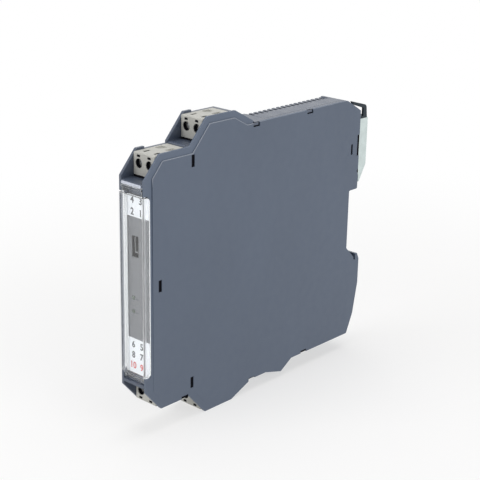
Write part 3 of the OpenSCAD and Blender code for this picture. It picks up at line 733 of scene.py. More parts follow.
    def settle(self, piece: Piece) -> None:
        """Puts a piece's place, turn and size into its mesh."""
        self.only(piece)
        bpy.ops.object.transform_apply(location=True, rotation=True, scale=True)

    def seal(self, piece: Piece) -> None:
        """Merges doubles and turns all the faces outwards."""
        self.open(piece)
        bpy.ops.mesh.select_mode(type="VERT")
        bpy.ops.mesh.select_all(action="SELECT")
        bpy.ops.mesh.remove_doubles(threshold=0.0005 * MM)
        bpy.ops.mesh.normals_make_consistent(inside=False)
        self.close()

    def inset(self, thickness: float) -> None:
        """Insets the selected faces of the open piece."""
        bpy.ops.mesh.inset(thickness=thickness * MM, depth=0)

    def extrude(self, step: Point) -> None:
        """Extrudes the selection of the open piece by a step."""
        bpy.ops.mesh.extrude_region_move(TRANSFORM_OT_translate={"value": Vector(step) * MM})

    def split(self, point: Point, normal: Point) -> None:
        """Splits every face of the open piece along a plane."""
        bpy.ops.mesh.select_all(action="SELECT")
        bpy.ops.mesh.bisect(plane_co=Vector(point) * MM, plane_no=normal)

    def bevel(self, width: float, segments: int = 2, slot: int = -1) -> None:
        """Rounds the selected edges of the open piece, in the material of a slot."""
        bpy.ops.mesh.bevel(
            offset=width * MM, segments=segments, profile=0.5, clamp_overlap=True, material=slot
        )

    def move(self, kind: Pick, test: Test, step: Point) -> None:
        """Moves the parts of the open piece that a test takes."""
        self.pick(kind, test)
        bpy.ops.transform.translate(value=Vector(step) * MM)

    def round(self, piece: Piece, test: Test, width: float, segments: int) -> None:
        """Rounds some edges of a piece.

        Args:
            piece: The piece.
            test: Which edges.
            width: Width of the rounding.
            segments: Number of steps across it.
        """
        self.open(piece)
        self.pick(Pick.EDGES, test)
        self.bevel(width, segments)
        self.close()

    def sink(self, piece: Piece, test: Test, lip: float, step: Point) -> None:
        """Insets some faces of a piece and moves them.

        Args:
            piece: The piece.
            test: Which faces.
            lip: Width of the lip that stays round them.
            step: How far they move.
        """
        self.open(piece)
        self.pick(Pick.FACES, test)
        self.inset(lip)
        self.extrude(step)
        self.close()

    def soften(self, piece: Piece, width: float, segments: int = 2, slot: int = -1) -> None:
        """Rounds every sharp edge of a piece with an applied bevel.

        Args:
            piece: The piece.
            width: Width of the rounding.
            segments: Number of steps across it.
            slot: Material slot of the rounding, or -1 for the one beside it.
        """
        self.only(piece)
        modifier = piece.modifiers.new("edges", "BEVEL")
        modifier.width = width * MM
        modifier.segments = segments
        modifier.limit_method = "ANGLE"
        modifier.angle_limit = math.radians(35)
        modifier.use_clamp_overlap = True
        modifier.material = slot
        bpy.ops.object.modifier_apply(modifier=modifier.name)

    def cut(self, piece: Piece, cutter: Piece) -> None:
        """Cuts one piece out of another and throws the cutter away.

        Args:
            piece: The piece that is cut.
            cutter: What is cut out of it.
        """
        self.only(piece)
        modifier = piece.modifiers.new("cut", "BOOLEAN")
        modifier.object = cutter
        modifier.operation = "DIFFERENCE"
        modifier.solver = "EXACT"
        bpy.ops.object.modifier_apply(modifier=modifier.name)
        bpy.data.objects.remove(cutter, do_unlink=True)

    def repeat(self, piece: Piece, count: int, step: Point) -> None:
        """Repeats a piece in a row with an applied array.

        Args:
            piece: The piece.
            count: How many there are in the end.
            step: Step from one to the next.
        """
        self.only(piece)
        modifier = piece.modifiers.new("row", "ARRAY")
        modifier.count = count
        modifier.use_relative_offset = False
        modifier.use_constant_offset = True
        modifier.constant_offset_displace = Vector(step) * MM
        bpy.ops.object.modifier_apply(modifier=modifier.name)

    def paint(self, piece: Piece, *finishes: Finish) -> None:
        """Gives a piece its material slots, in order."""
        for finish in finishes:
            piece.data.materials.append(self.paints.get(finish))

    def merge(self, pieces: Sequence[Piece], name: str) -> Piece:
        """Joins pieces into one.

        Args:
            pieces: The pieces.
            name: Name of the joined piece.

        Returns:
            The joined piece.
        """
        self.only(pieces[0])
        for piece in pieces[1:]:
            piece.select_set(True)
        bpy.ops.object.join()
        pieces[0].name = name
        return pieces[0]

    def copy(self, piece: Piece, name: str, step: Point, mirror_z: bool = False) -> Piece:
        """Copies a piece with a mesh of its own.

        Args:
            piece: The piece to copy.
            name: Name of the copy.
            step: How far the copy is moved.
            mirror_z: Whether the copy is first mirrored up and down.

        Returns:
            The copy.
        """
        twin = bpy.data.objects.new(name, piece.data.copy())
        bpy.context.scene.collection.objects.link(twin)
        if mirror_z:
            twin.data.transform(Matrix.Diagonal((1, 1, -1, 1)))
            twin.data.flip_normals()
        twin.data.transform(Matrix.Translation(Vector(step) * MM))
        return twin

    def hand_over(
        self, piece: Piece, finish: Finish, body: str = "housing", angle: float = 35
    ) -> None:
        """Smooths, paints and mounts a finished piece.

        Args:
            piece: The piece.
            finish: Its finish.
            body: The body it rides on.
            angle: Edges sharper than this stay sharp, in degrees.
        """
        self.only(piece)
        bpy.ops.object.shade_smooth_by_angle(angle=math.radians(angle))
        modifier = piece.modifiers.new("flats", "WEIGHTED_NORMAL")
        modifier.keep_sharp = True
        bpy.ops.object.modifier_apply(modifier=modifier.name)
        if not piece.data.materials:
            piece.data.materials.append(self.paints.get(finish))
        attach(piece, body)
        log.info("%s rides on %s", piece.name, body)

    def dress(self, node: str, finish: Finish, edge: float = 0.0, segments: int = 2) -> None:
        """Paints a CAD node and breaks its sharp edges.

        Args:
            node: The node.
            finish: Its finish.
            edge: Width of the edge break, or 0 for none.
            segments: Number of steps across it.
        """
        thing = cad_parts[node]
        if not thing.data.materials:
            thing.data.materials.append(None)
        for slot in thing.material_slots:
            slot.material = self.paints.get(finish)
        if edge:
            weld = thing.modifiers.new("weld", "WELD")
            weld.merge_threshold = 0.002 * MM
            flat = thing.modifiers.new("flat", "DECIMATE")
            flat.decimate_type = "DISSOLVE"
            flat.angle_limit = math.radians(0.5)
            bevel = thing.modifiers.new("edges", "BEVEL")
            bevel.width = edge * MM
            bevel.segments = segments
            bevel.limit_method = "ANGLE"
            bevel.angle_limit = math.radians(30)
            bevel.use_clamp_overlap = False
            bevel.loop_slide = False
        log.info("%s dressed in %s", node, finish.name)


def in_mm(corner: Vector) -> Vector:
    """A CAD corner in millimetres."""
    return corner / MM


PLACES = ("front_top", "rear_top", "front_low", "rear_low")
POLES = ("left", "right")


# ---------------------------------------------------------- sub-assemblies


@dataclass
class Housing:
    """The two moulded halves of the housing, with their latch slots, notches and vents."""

    bench: Workbench
    shell_edge: float = 0.12
    cover_edge: float = 0.08
    field_height: float = 0.2
    rim_drop: float = 0.2
    rim_rise: float = 0.16
    field_round: float = 0.34
    outline_round: float = 0.32
    upper: float = 10.0
    slot_sizes: tuple[tuple[float, float], ...] = ((1.5, 4.3), (1.5, 4.3), (1.5, 4.3), (1.0, 4.2))
    slot_places: tuple[tuple[float, float], ...] = (
        (22.23, 40.98),
        (6.84, 0.0),
        (22.23, -40.98),
        (109.44, 29.15),
    )
    notch_length: float = 3.4
    top_notches: tuple[tuple[float, float], ...] = ((53.8, 47.55), (83.2, 47.55))
    low_notches: tuple[tuple[float, float, float], ...] = (
        (18.8, -45.0, -45.95),
        (54.15, -49.7, -50.15),
        (84.4, -47.95, -48.9),
    )
    edge_slot: tuple[float, float] = (26.05, 34.45)
    edge_slot_depth: float = 1.3
    dot_height: float = 19.8
    dot_radius: float = 0.75
    vent_start: float = 62.0
    vent_pitch: float = 2.5
    vent_width: float = 1.1
    vent_count: int = 17
    vent_field: tuple[float, float] = (60.75, 104.35)
    ridge_height: float = 49.0
    land: tuple[float, float] = (-2.2, 3.68)

    def build(self) -> None:
        """Builds the side cover, the black wells that paint the shade in its openings and the
        vents, and dresses the shell.
        """
        self.low, self.high = (in_mm(c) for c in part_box("side_cover"))
        self.bench.dress("main_shell", HOUSING, self.shell_edge)
        self.side_cover()
        self.latch_wells()
        self.notch_wells()
        self.rear_edge_wells()
        self.vents()

    def side_cover(self) -> None:
        """Reworks the side cover: wider slots, a sunk rim at its top and rounded edges, the upper
        ones pale as painted highlights.
        """
        piece = self.bench.reworked("side_cover_moulding", "side_cover")
        x0, x1 = self.low.x - 0.3, self.high.x + 0.3
        for (depth, z), (wide, tall) in zip(self.slot_places[:3], self.slot_sizes):
            y = depth + self.low.y
            self.slot_cut(piece, (x0, y - wide / 2, z - tall / 2), (x1, y + wide / 2, z + tall / 2))
        for depth, z in self.top_notches:
            y, half = depth + self.low.y, self.notch_length / 2
            self.slot_cut(piece, (x0, y - half, z), (x1, y + half, self.ridge_height + 1))
        self.slot_cut(
            piece, (x0, -self.edge_slot_depth, self.edge_slot[0]), (x1, 0.3, self.edge_slot[1])
        )
        # The second slot is the pale painted highlight on the rounded upper edges.
        self.bench.paint(piece, SIDE, EDGE)
        self.rim(piece)
        self.bench.soften(piece, self.cover_edge)
        self.bench.hand_over(piece, SIDE, angle=25)

    def slot_cut(self, piece: Piece, low: Point, high: Point) -> None:
        """Cuts a box-shaped slot into a piece."""
        self.bench.cut(piece, self.bench.block("slot_cutter", low, high))

    def rim(self, piece: Piece) -> None:
        """Sinks the upper rim, raises the lower one and rounds the upper borders and outline in the
        pale second slot, a painted highlight.

        Args:
            piece: The side cover.
        """
        top, skin = self.high.x, self.high.x - self.field_height
        self.bench.open(piece)
        for way, step in ((1, -self.rim_drop), (-1, self.rim_rise)):
            self.bench.move(
                Pick.VERTS,
                lambda c, n, e: abs(c.x - skin) < 0.01 and c.z * way > self.upper,
                (step, 0, 0),
            )
        rim = skin - self.rim_drop

        def wall_of(edge: Element) -> Element | None:
            """The upright face beside an edge that also has a flat one, or nothing."""
            walls = [f for f in edge.link_faces if abs(f.normal.x) < 0.3]
            flats = [f for f in edge.link_faces if abs(f.normal.x) > 0.7]
            return walls[0] if len(walls) == 1 and len(flats) == 1 else None

        def on_border(c: Vector, d: Vector, edge: Element) -> bool:
            """Whether an edge is the field's upper edge above the rim."""
            wall = wall_of(edge)
            return (
                wall is not None
                and c.z > self.upper
                and abs(c.x - top) < 0.01
                and min(v.co.x for v in wall.verts) > (rim - 0.02) * MM
            )

        def on_outline(c: Vector, d: Vector, edge: Element) -> bool:
            """Whether an edge is the rim's outer edge."""
            wall = wall_of(edge)
            return (
                wall is not None
                and c.z > self.upper
                and abs(c.x - rim) < 0.02
                and min(v.co.x for v in wall.verts) < (self.low.x + 0.1) * MM
                and self.high_line(c)
            )

        borders = self.bench.pick(Pick.EDGES, on_border)
        self.bench.bevel(self.field_round, 3, 1)
        outlines = self.bench.pick(Pick.EDGES, on_outline)
        self.bench.bevel(self.outline_round, 2, 1)
        self.bench.close()
        log.info("side cover: %d border and %d outline edges rounded", borders, outlines)

    def high_line(self, c: Vector) -> bool:
        """Whether a place on the side cover lies on its stepped upper outline."""
        return c.y - self.low.y < 56 and c.z > 30

    def well(self, name: str, low: Point, high: Point, lip: float = 0.1) -> None:
        """Makes one black well, painted shade, with a sunk floor that opens to the side.

        Args:
            name: Name of the piece.
            low: Its lower corner.
            high: Its upper corner.
            lip: Width of the lip round its floor.
        """
        piece = self.bench.block(name, low, high)
        self.bench.sink(piece, looks("x"), lip, (-0.2, 0, 0))
        self.bench.hand_over(piece, PAINTED_SHADE_BLACK)

    def latch_wells(self) -> None:
        """Sets a black well, painted shade, in each latch slot of the side cover."""
        for index, ((depth, z), size) in enumerate(zip(self.slot_places, self.slot_sizes)):
            y = depth + self.low.y
            wide, tall = (side / 2 - 0.02 for side in size)
            self.well(
                f"latch_well_{index}",
                (self.low.x + 0.05, y - wide, z - tall),
                (self.high.x - 0.25, y + wide, z + tall),
            )

    def notch_wells(self) -> None:
        """Sets a black well, painted shade, in each notch of the outline, and a latch tab in the
        upper ones.
        """
        half = self.notch_length / 2 - 0.02
        for index, (depth, z) in enumerate(self.top_notches):
            y = depth + self.low.y
            x0, x1 = self.low.x + 0.05, self.high.x - 0.45
            self.well(
                f"upper_notch_well_{index}",
                (x0, y - half, z + 0.02),
                (x1, y + half, self.ridge_height - 0.15),
            )
            tab = self.bench.block(
                f"latch_tab_{index}",
                (x1 - 0.1, y - half + 0.02, z + 0.5),
                (x1 + 0.28, y + half - 0.6, self.ridge_height - 0.1),
            )
            self.bench.soften(tab, 0.08)
            self.bench.hand_over(tab, HOUSING)
        for index, (depth, inner, outer) in enumerate(self.low_notches):
            y = depth + self.low.y
            low, high = sorted((inner, outer))
            self.well(
                f"lower_notch_well_{index}",
                (self.low.x + 0.05, y - half, low + 0.03),
                (self.high.x - 0.3, y + half, high - 0.03),
            )

    def rear_edge_wells(self) -> None:
        """Fills the slot and the round mark in the rear edge with black, as painted shade."""
        x0, x1 = self.low.x + 0.05, self.high.x - 0.1
        self.well(
            "rear_edge_well",
            (x0, 0.03 - self.edge_slot_depth, self.edge_slot[0] + 0.03),
            (x1, -0.05, self.edge_slot[1] - 0.03),
            0.15,
        )
        r = self.dot_radius
        piece = self.bench.turned(
            "rear_mark",
            (self.high.x - 0.02, 0, self.dot_height),
            [(0, r), (0.04, r), (0.045, r * 0.6), (0.02, r * 0.5)],
            "X",
            24,
        )
        self.bench.open(piece)
        bpy.ops.mesh.select_all(action="SELECT")
        bpy.ops.mesh.bisect(
            plane_co=(0, -0.01 * MM, 0), plane_no=(0, 1, 0), clear_outer=True, use_fill=True
        )
        self.bench.close()
        self.bench.seal(piece)
        self.bench.hand_over(piece, PAINTED_SHADE_BLACK)

    def vents(self) -> None:
        """Lays the plain land beside the vent slots and the black baffle under them, which paints
        the shade in the slots.
        """
        y0, y1 = (depth + self.low.y + s * 0.02 for depth, s in zip(self.vent_field, (1, -1)))
        x0, x1 = self.land
        land = self.bench.block(
            "ridge_land", (x0, y0, self.ridge_height - 0.29), (x1, y1, self.ridge_height)
        )
        upper = self.ridge_height - 0.1
        self.bench.round(land, lambda c, d, e: abs(d.y) > 0.9 and c.z > upper, 0.18, 3)
        self.bench.hand_over(land, HOUSING)
        start = self.vent_start + self.low.y
        baffle = self.bench.block(
            "vent_baffle",
            (x0 - 2.9, start + 0.02, self.ridge_height - 1.15),
            (x0 - 0.02, start + self.vent_width - 0.02, self.ridge_height - 0.45),
        )
        self.bench.sink(baffle, looks("z"), 0.12, (0, 0, -0.1))
        self.bench.repeat(baffle, self.vent_count, (0, self.vent_pitch, 0))
        self.bench.hand_over(baffle, PAINTED_SHADE_BLACK)


@dataclass
class FrontPanel:
    """Clear cover, printed panel, terminal numbers, port and lamps."""

    bench: Workbench
    matt_highlight_edge: float = 0.16
    panel_reach: tuple[float, float] = (0.0, 0.38)
    lip: tuple[float, float, float] = (0.7, 1.85, 0.3)
    shade_depth: float = 1.9
    tab_width: float = 9.2
    tab_height: float = 1.2
    tab_clear: float = 0.35
    tab_proud: float = 0.5
    digit_height: float = 2.5
    digit_proud: float = 0.03
    column_share: float = 0.213
    column_shift: float = -0.15
    top_rows: tuple[tuple[float, str, str], ...] = ((0.79, "4", "3"), (0.24, "2", "1"))
    low_rows: tuple[tuple[float, str, str], ...] = (
        (0.83, "6", "5"),
        (0.53, "8", "7"),
        (0.23, "10", "9"),
    )
    port_width: float = 3.245
    socket_wall: float = 1.0
    body_wall: float = 0.6
    port_gap: float = 0.06
    shroud_wall: float = 0.22
    shroud_sink: float = 0.08
    port_depth: float = 5.2
    spring_sheet: float = 0.2
    lens_dome: float = 0.2
    mark_size: tuple[float, float] = (1.5, 0.42)

    def build(self) -> None:
        """Builds and dresses the panel."""
        for node in ("label_panel", "label_top", "label_low"):
            self.field(node)
        self.clear_cover()
        self.digits("label_top", self.top_rows, 99)
        self.digits("label_low", self.low_rows, 2)
        self.port()
        self.lamps()

    def field(self, node: str) -> None:
        """Widens the panel, or one of its white fields, to the sides of the housing.

        Args:
            node: The node that it stands for.
        """
        low, high = (in_mm(c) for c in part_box(node))
        piece = self.bench.reworked(f"{node}_film", node)
        self.bench.open(piece)
        for edge, reach in ((low.x, -self.panel_reach[0]), (high.x, self.panel_reach[1])):
            self.bench.move(Pick.VERTS, lambda c, n, e: abs(c.x - edge) < 0.01, (reach, 0, 0))
        self.bench.close()
        self.bench.soften(piece, 0.03)
        self.bench.hand_over(piece, PANEL if node == "label_panel" else LABEL)

    def clear_cover(self) -> None:
        """Polishes the clear cover, with matt ends and flange edges whose white is a painted
        highlight, painted shade on its far corner and a painted highlight on its near corner.
        """
        low, high = (in_mm(c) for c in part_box("front_cover"))
        piece = self.bench.reworked("clear_cover_moulding", "front_cover")
        self.bench.paint(piece, CLEAR, MATT_AND_HIGHLIGHT, CORNER_SHADE, CORNER_HIGHLIGHT)
        self.bench.open(piece)
        inside = high.x - 0.9
        front = low.y + self.shade_depth
        self.bench.split((0, front, 0), (0, 1, 0))

        def inner_corner(c: Vector, d: Vector, edge: Element) -> bool:
            """Whether an edge is one of the two long inner corners."""
            return abs(d.z) > 0.9 and abs(abs(c.x) - (high.x - 0.8)) < 0.05 and c.y < low.y + 1.5

        # The inner corners are rounded in the near corner's painted highlight.
        self.bench.pick(Pick.EDGES, inner_corner)
        self.bench.bevel(0.3, 3, 3)
        # Slot 3 paints a highlight on the near corner, slot 2 a shade on the far one.
        for slot, test in (
            (3, lambda c, n, e: c.x > inside and n.x > 0.15 and n.y < -0.05),
            (2, lambda c, n, e: c.x < 0.5 - inside and abs(n.x) > 0.15 and c.y < front),
        ):
            self.bench.pick(Pick.FACES, test)
            piece.active_material_index = slot
            bpy.ops.object.material_slot_assign()
        self.bench.close()
        self.bench.soften(piece, self.matt_highlight_edge, 2, 1)
        self.bench.hand_over(piece, CLEAR, "cover", 30)
        self.cover_lip(low, high)
        self.finger_tab(low, high)

    def finger_tab(self, low: Vector, high: Vector) -> None:
        """Lays the cover's rounded finger tab against the housing's front, its top matt and pale
        lavender as a painted highlight.

        Args:
            low: The cover's lower corner.
            high: The cover's upper corner.
        """
        wide = self.tab_width / 2
        piece = self.bench.block(
            "finger_tab",
            (-wide, low.y - 0.05, high.z - 0.06),
            (wide, low.y - 0.05 + self.tab_proud, high.z + self.tab_height),
        )
        self.bench.paint(piece, CLEAR, TAB_MATT_AND_HIGHLIGHT)
        self.bench.open(piece)
        self.bench.pick(Pick.EDGES, lambda c, d, e: abs(d.x) > 0.9 and c.y < low.y)
        self.bench.bevel(0.3, 4)
        self.bench.split((0, 0, high.z + self.tab_clear), (0, 0, 1))
        self.bench.pick(Pick.FACES, lambda c, n, e: c.z > high.z + self.tab_clear)
        piece.active_material_index = 1
        bpy.ops.object.material_slot_assign()
        self.bench.close()
        self.bench.hand_over(piece, CLEAR, "cover", 50)

    def cover_lip(self, low: Vector, high: Vector) -> None:
        """Runs a matt lip along the inside of the cover's far flange, whose white is a painted
        highlight of the bright band in that flange.

        Args:
            low: The cover's lower corner.
            high: The cover's upper corner.
        """
        inner, outer, thick = self.lip
        panel = [in_mm(c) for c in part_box("label_panel")]
        back = high.y - 0.03
        piece = self.bench.block(
            "cover_lip",
            (low.x + inner, back - thick, panel[0].z + 0.4),
            (low.x + outer, back, panel[1].z - 0.1),
        )
        self.bench.round(piece, lambda c, d, e: abs(d.z) > 0.9 and c.y < back - 0.1, 0.12, 3)
        self.bench.hand_over(piece, MATT_AND_HIGHLIGHT, "cover")

    def digits(self, node: str, rows: Sequence[tuple[float, str, str]], red_row: int) -> None:
        """Prints the terminal numbers of one white field.

        Args:
            node: The white field.
            rows: Height of each row as a share of the field, and its two numbers.
            red_row: Index of the row that is printed in red.
        """
        low, high = (in_mm(c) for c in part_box(node))
        for index, (share, *numbers) in enumerate(rows):
            for side, text in zip((-1, 1), numbers):
                middle = (
                    side * self.column_share * (high.x - low.x) + self.column_shift,
                    low.y,
                    low.z + share * (high.z - low.z),
                )
                piece = self.bench.number(
                    f"number_{text}", text, self.digit_height, middle, self.digit_proud
                )
                ink = INK_RED if index == red_row else INK_DARK
                self.bench.hand_over(piece, ink)

    def port(self) -> None:
        """Builds the programming connector, whose shroud fills the panel's opening."""
        low, high = (in_mm(c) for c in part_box("port_socket"))
        face = in_mm(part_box("label_panel")[0]).y + self.shroud_sink
        x1, x0 = high.x - self.socket_wall, high.x - self.socket_wall - self.port_width
        z0, z1 = low.z + self.socket_wall, high.z - self.socket_wall
        body = self.body_wall
        piece = self.bench.block(
            "port_connector",
            (x0 - body, low.y + 0.02, z0 - body),
            (x1 + body, high.y, z1 + body),
        )
        self.bench.open(piece)
        self.bench.pick(Pick.FACES, looks("y", -1))
        self.bench.inset(body + self.port_gap)
        self.bench.extrude((0, face - low.y - 0.02, 0))
        self.bench.inset(self.shroud_wall)
        self.bench.extrude((0, self.port_depth, 0))
        self.bench.close()
        self.bench.soften(piece, 0.05)
        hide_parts("port_socket")
        # The connector is near-black: painted shade for its deep mouth.
        self.bench.hand_over(piece, PAINTED_SHADE_BLACK)
        self.port_spring(x0, x1, z0, z1, face)

    def port_spring(self, x0: float, x1: float, z0: float, z1: float, face: float) -> None:
        """Bends the bright spring in the connector's mouth.

        Args:
            x0: Left edge of the opening.
            x1: Right edge of the opening.
            z0: Lower edge of the opening.
            z1: Upper edge of the opening.
            face: Depth of the shroud's front.
        """
        width, height = x1 - x0, z1 - z0
        left, sheet = x0 + 0.3 * width, self.spring_sheet
        foot = z0 + 0.2 * height
        piece = self.bench.block(
            "port_spring",
            (left, face + 0.35, foot),
            (x1 - self.shroud_wall - 0.15, face + self.port_depth - 0.2, foot + sheet),
        )
        self.bench.open(piece)
        self.bench.split((left + sheet, 0, 0), (1, 0, 0))
        self.bench.pick(Pick.FACES, lambda c, n, e: n.z > 0.9 and c.x < left + sheet)
        self.bench.extrude((0, 0, 0.7 * height))
        self.bench.close()
        self.bench.soften(piece, 0.04)
        self.bench.hand_over(piece, STEEL)

    def lamps(self) -> None:
        """Dresses both lamps and gives each a domed lens."""
        for node in ("lamp_upper", "lamp_lower"):
            self.bench.dress(node, LENS)
            low, high = (in_mm(c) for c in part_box(node))
            radius = (high.z - low.z) / 2
            middle = (high.x - radius, low.y, (low.z + high.z) / 2)
            steps = 5
            profile = [(0.12, radius * 0.98)]
            for step in range(steps):
                angle = math.pi / 2 * step / steps
                profile.append((-self.lens_dome * math.sin(angle), radius * 0.98 * math.cos(angle)))
            profile.append((-self.lens_dome, radius * 0.08))
            piece = self.bench.turned(f"{node}_lens", middle, profile, sides=24)
            self.bench.hand_over(piece, LENS, angle=60)
            self.mark(f"{node}_mark", middle[0] + 1.9, middle[2] - 0.2)

    def mark(self, name: str, x: float, z: float) -> None:
        """Prints a short plain bar on the panel.

        Args:
            name: Name of the piece.
            x: Its middle across the panel.
            z: Its middle up the panel.
        """
        face = in_mm(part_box("label_panel")[0]).y
        wide, tall = (side / 2 for side in self.mark_size)
        piece = self.bench.block(
            name, (x - wide, face - 0.02, z - tall), (x + wide, face, z + tall)
        )
        self.bench.round(piece, runs("y"), 0.12, 3)
        self.bench.hand_over(piece, MARK)


@dataclass
class TerminalRow:
    """The four plugs with their clamp screws, cages and contacts."""

    bench: Workbench
    head_chamfer: float = 0.28
    head_length: float = 1.6
    slot_width: float = 0.5
    slot_depth: float = 0.7
    thread_pitch: float = 0.5
    thread_share: float = 0.77
    thread_depth: float = 0.16
    pole_share: float = 0.508
    hole_radius: float = 1.65
    hole_height: float = 4.5
    hole_shade_span: tuple[float, float] = (0.3, 1.7)
    test_drop: float = 1.1
    test_size: tuple[float, float] = (1.5, 0.8)
    test_plate: tuple[float, float] = (1.8, 1.34)
    top_slot: tuple[float, float, float] = (1.1, 2.2, 2.8)
    gate_sink: float = 0.3
    gap_height: float = 0.5

    def build(self) -> None:
        """Builds the screws and the openings and dresses the rest."""
        master = self.screw()
        low, high = (in_mm(c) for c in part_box("screw_front_top_left"))
        home = (low + high) / 2
        for place in PLACES:
            self.bench.dress(f"plug_{place}", TERMINAL, 0.09)
            self.bench.dress(f"contacts_{place}", TINNED, 0.05)
            self.bench.dress(f"header_{place}", BLACK, 0.1)
            self.bench.dress(f"pins_{place}", TINNED, 0.08)
            for pole in POLES:
                spot = f"{place}_{pole}"
                self.bench.dress(f"clamp_{spot}", ZINC, 0.08)
                a, b = (in_mm(c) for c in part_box(f"screw_{spot}"))
                step = (a + b) / 2 - home
                piece = self.bench.copy(master, f"clamp_screw_{spot}", step)
                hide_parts(f"screw_{spot}")
                self.bench.hand_over(piece, SCREW, f"screw_{spot}_body", 30)
        bpy.data.objects.remove(master, do_unlink=True)
        self.openings()

    def openings(self) -> None:
        """Models one plug's openings and copies them to the other plugs."""
        low, high = (in_mm(c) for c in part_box("plug_front_top"))
        pole = (high.x - low.x) * self.pole_share / 2
        holes, gates, plates = [], [], []
        for x in (-pole, pole):
            test = (x, low.y, high.z - self.test_drop)
            # The screw-hole tubes, test slots, slot floors and the strip under the face are black
            # as painted shade.
            holes += [
                self.sleeve((x, low.y, low.z + self.hole_height)),
                self.rounded("test_slot", test, self.test_size, 0.06),
                self.slot_shade_floor((x, low.y, high.z)),
            ]
            plates.append(self.rounded("test_plate", test, self.test_plate, 0.025))
            gates.append(self.gate(x, high.z))
        holes.append(self.shadow_gap(low, high))
        for finish, parts, name in (
            (PAINTED_SHADE_BLACK, holes, "openings"),
            (SHADED_TERMINAL, gates, "gates"),
            (TERMINAL, plates, "test_plates"),
        ):
            master = self.bench.merge(parts, f"plug_{name}")
            for place in PLACES:
                a, b = (in_mm(c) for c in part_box(f"plug_{place}"))
                under = place.endswith("low")
                middle = (low + high) / 2
                if under:
                    middle.z = -middle.z
                piece = self.bench.copy(
                    master, f"plug_{name}_{place}", (a + b) / 2 - middle, mirror_z=under
                )
                self.bench.hand_over(piece, finish, f"plug_{place}_body")
            bpy.data.objects.remove(master, do_unlink=True)

    def sleeve(self, mouth: Point) -> Piece:
        """Turns the black tube inside a screw hole that paints its shade.

        Args:
            mouth: Middle of the hole in the plug's face.

        Returns:
            The tube.
        """
        outer, inner = self.hole_radius - 0.01, self.hole_radius - 0.09
        a, b = self.hole_shade_span
        piece = self.bench.turned("sleeve", mouth, [(a, outer), (b, outer)])
        core = self.bench.turned("sleeve_core", mouth, [(a - 0.5, inner), (b + 0.5, inner)])
        self.bench.cut(piece, core)
        return piece

    def rounded(self, name: str, mouth: Point, size: Point, proud: float) -> Piece:
        """Makes the small oblong test opening above a screw hole, or the plate round it.

        Args:
            name: Name of the piece.
            mouth: Its middle in the plug's face.
            size: Its width and height.
            proud: How far it stands out of the face.

        Returns:
            The piece.
        """
        wide, tall = (side / 2 for side in size)
        x, y, z = mouth
        piece = self.bench.block(
            name, (x - wide, y - proud, z - tall), (x + wide, y + 0.4, z + tall)
        )
        self.bench.round(piece, runs("y"), min(0.36, tall - 0.1), 5)
        self.bench.sink(piece, looks("y", -1), 0.1, (0, 0.02, 0))
        return piece

    def slot_shade_floor(self, mouth: Point) -> Piece:
        """Lays the black floor of the short slot in a plug's outer face, as painted shade.

        Args:
            mouth: The pole's middle on the front edge of that face.

        Returns:
            The floor.
        """
        wide, inset, long = self.top_slot
        x, y, z = mouth
        piece = self.bench.block(
            "slot_shade_floor",
            (x - wide / 2 + 0.02, y + inset + 0.02, z - 0.98),
            (x + wide / 2 - 0.02, y + inset + long - 0.02, z - 0.22),
        )
        self.bench.sink(piece, looks("z"), 0.08, (0, 0, -0.15))
        return piece

    def gate(self, x: float, top: float) -> Piece:
        """Fills one wire funnel's mouth with its gate, whose grey is the terminal grey darkened as
        painted shade of the recess.

        Args:
            x: The pole's middle.
            top: Height of the plug's outer face.

        Returns:
            The gate.
        """
        corners = [
            v.co / MM
            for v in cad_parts["plug_front_top"].data.vertices
            if abs(v.co.z / MM - (top - 0.8)) < 0.01 and abs(v.co.x / MM - x) < 2
        ]
        low = Vector(min(c[i] for c in corners) for i in range(3))
        high = Vector(max(c[i] for c in corners) for i in range(3))
        piece = self.bench.block(
            "gate",
            (low.x + 0.02, low.y + 0.02, top - 0.78),
            (high.x - 0.02, high.y - 0.02, top - self.gate_sink),
        )
        self.bench.sink(piece, looks("z"), 0.5, (0, 0, -0.12))
        return piece

    def shadow_gap(self, low: Vector, high: Vector) -> Piece:
        """Makes the black strip under a plug's face, a painted shadow.

        Args:
            low: The plug's lower corner.
            high: The plug's upper corner.

        Returns:
            The strip.
        """
        piece = self.bench.block(
            "shadow_gap",
            (low.x + 0.05, low.y - 0.05, low.z - 0.25),
            (high.x - 0.05, low.y + 0.3, low.z + self.gap_height),
        )
        self.bench.sink(piece, looks("y", -1), 0.06, (0, 0.02, 0))
        return piece

    def screw(self) -> Piece:
        """Turns one clamp screw in the first screw's place.

        Returns:
            The screw.
        """
        low, high = (in_mm(c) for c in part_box("screw_front_top_left"))
        radius = (high.x - low.x) / 2
        length = high.y - low.y
        thread = radius * self.thread_share
        core = thread - self.thread_depth
        axis = ((low.x + high.x) / 2, low.y, (low.z + high.z) / 2)
        profile = [
            (0, radius - self.head_chamfer),
            (self.head_chamfer * 0.35, radius - self.head_chamfer * 0.3),
            (self.head_chamfer, radius),
            (self.head_length - 0.12, radius),
            (self.head_length, radius - 0.12),
            (self.head_length + 0.02, core),
        ]
        at = self.head_length + 0.5
        while at < length - 0.9:
            profile += [(at, core), (at + 0.2, thread), (at + 0.28, thread)]
            at += self.thread_pitch
        profile += [(length - 0.6, core), (length, core - 0.3)]
        piece = self.bench.turned("clamp_screw", axis, profile)
        slot = self.bench.block(
            "driver_slot",
            (axis[0] - self.slot_width / 2, axis[1] - 1, axis[2] - 2),
            (axis[0] + self.slot_width / 2, axis[1] + self.slot_depth, axis[2] + 2),
        )
        self.bench.cut(piece, slot)
        return piece


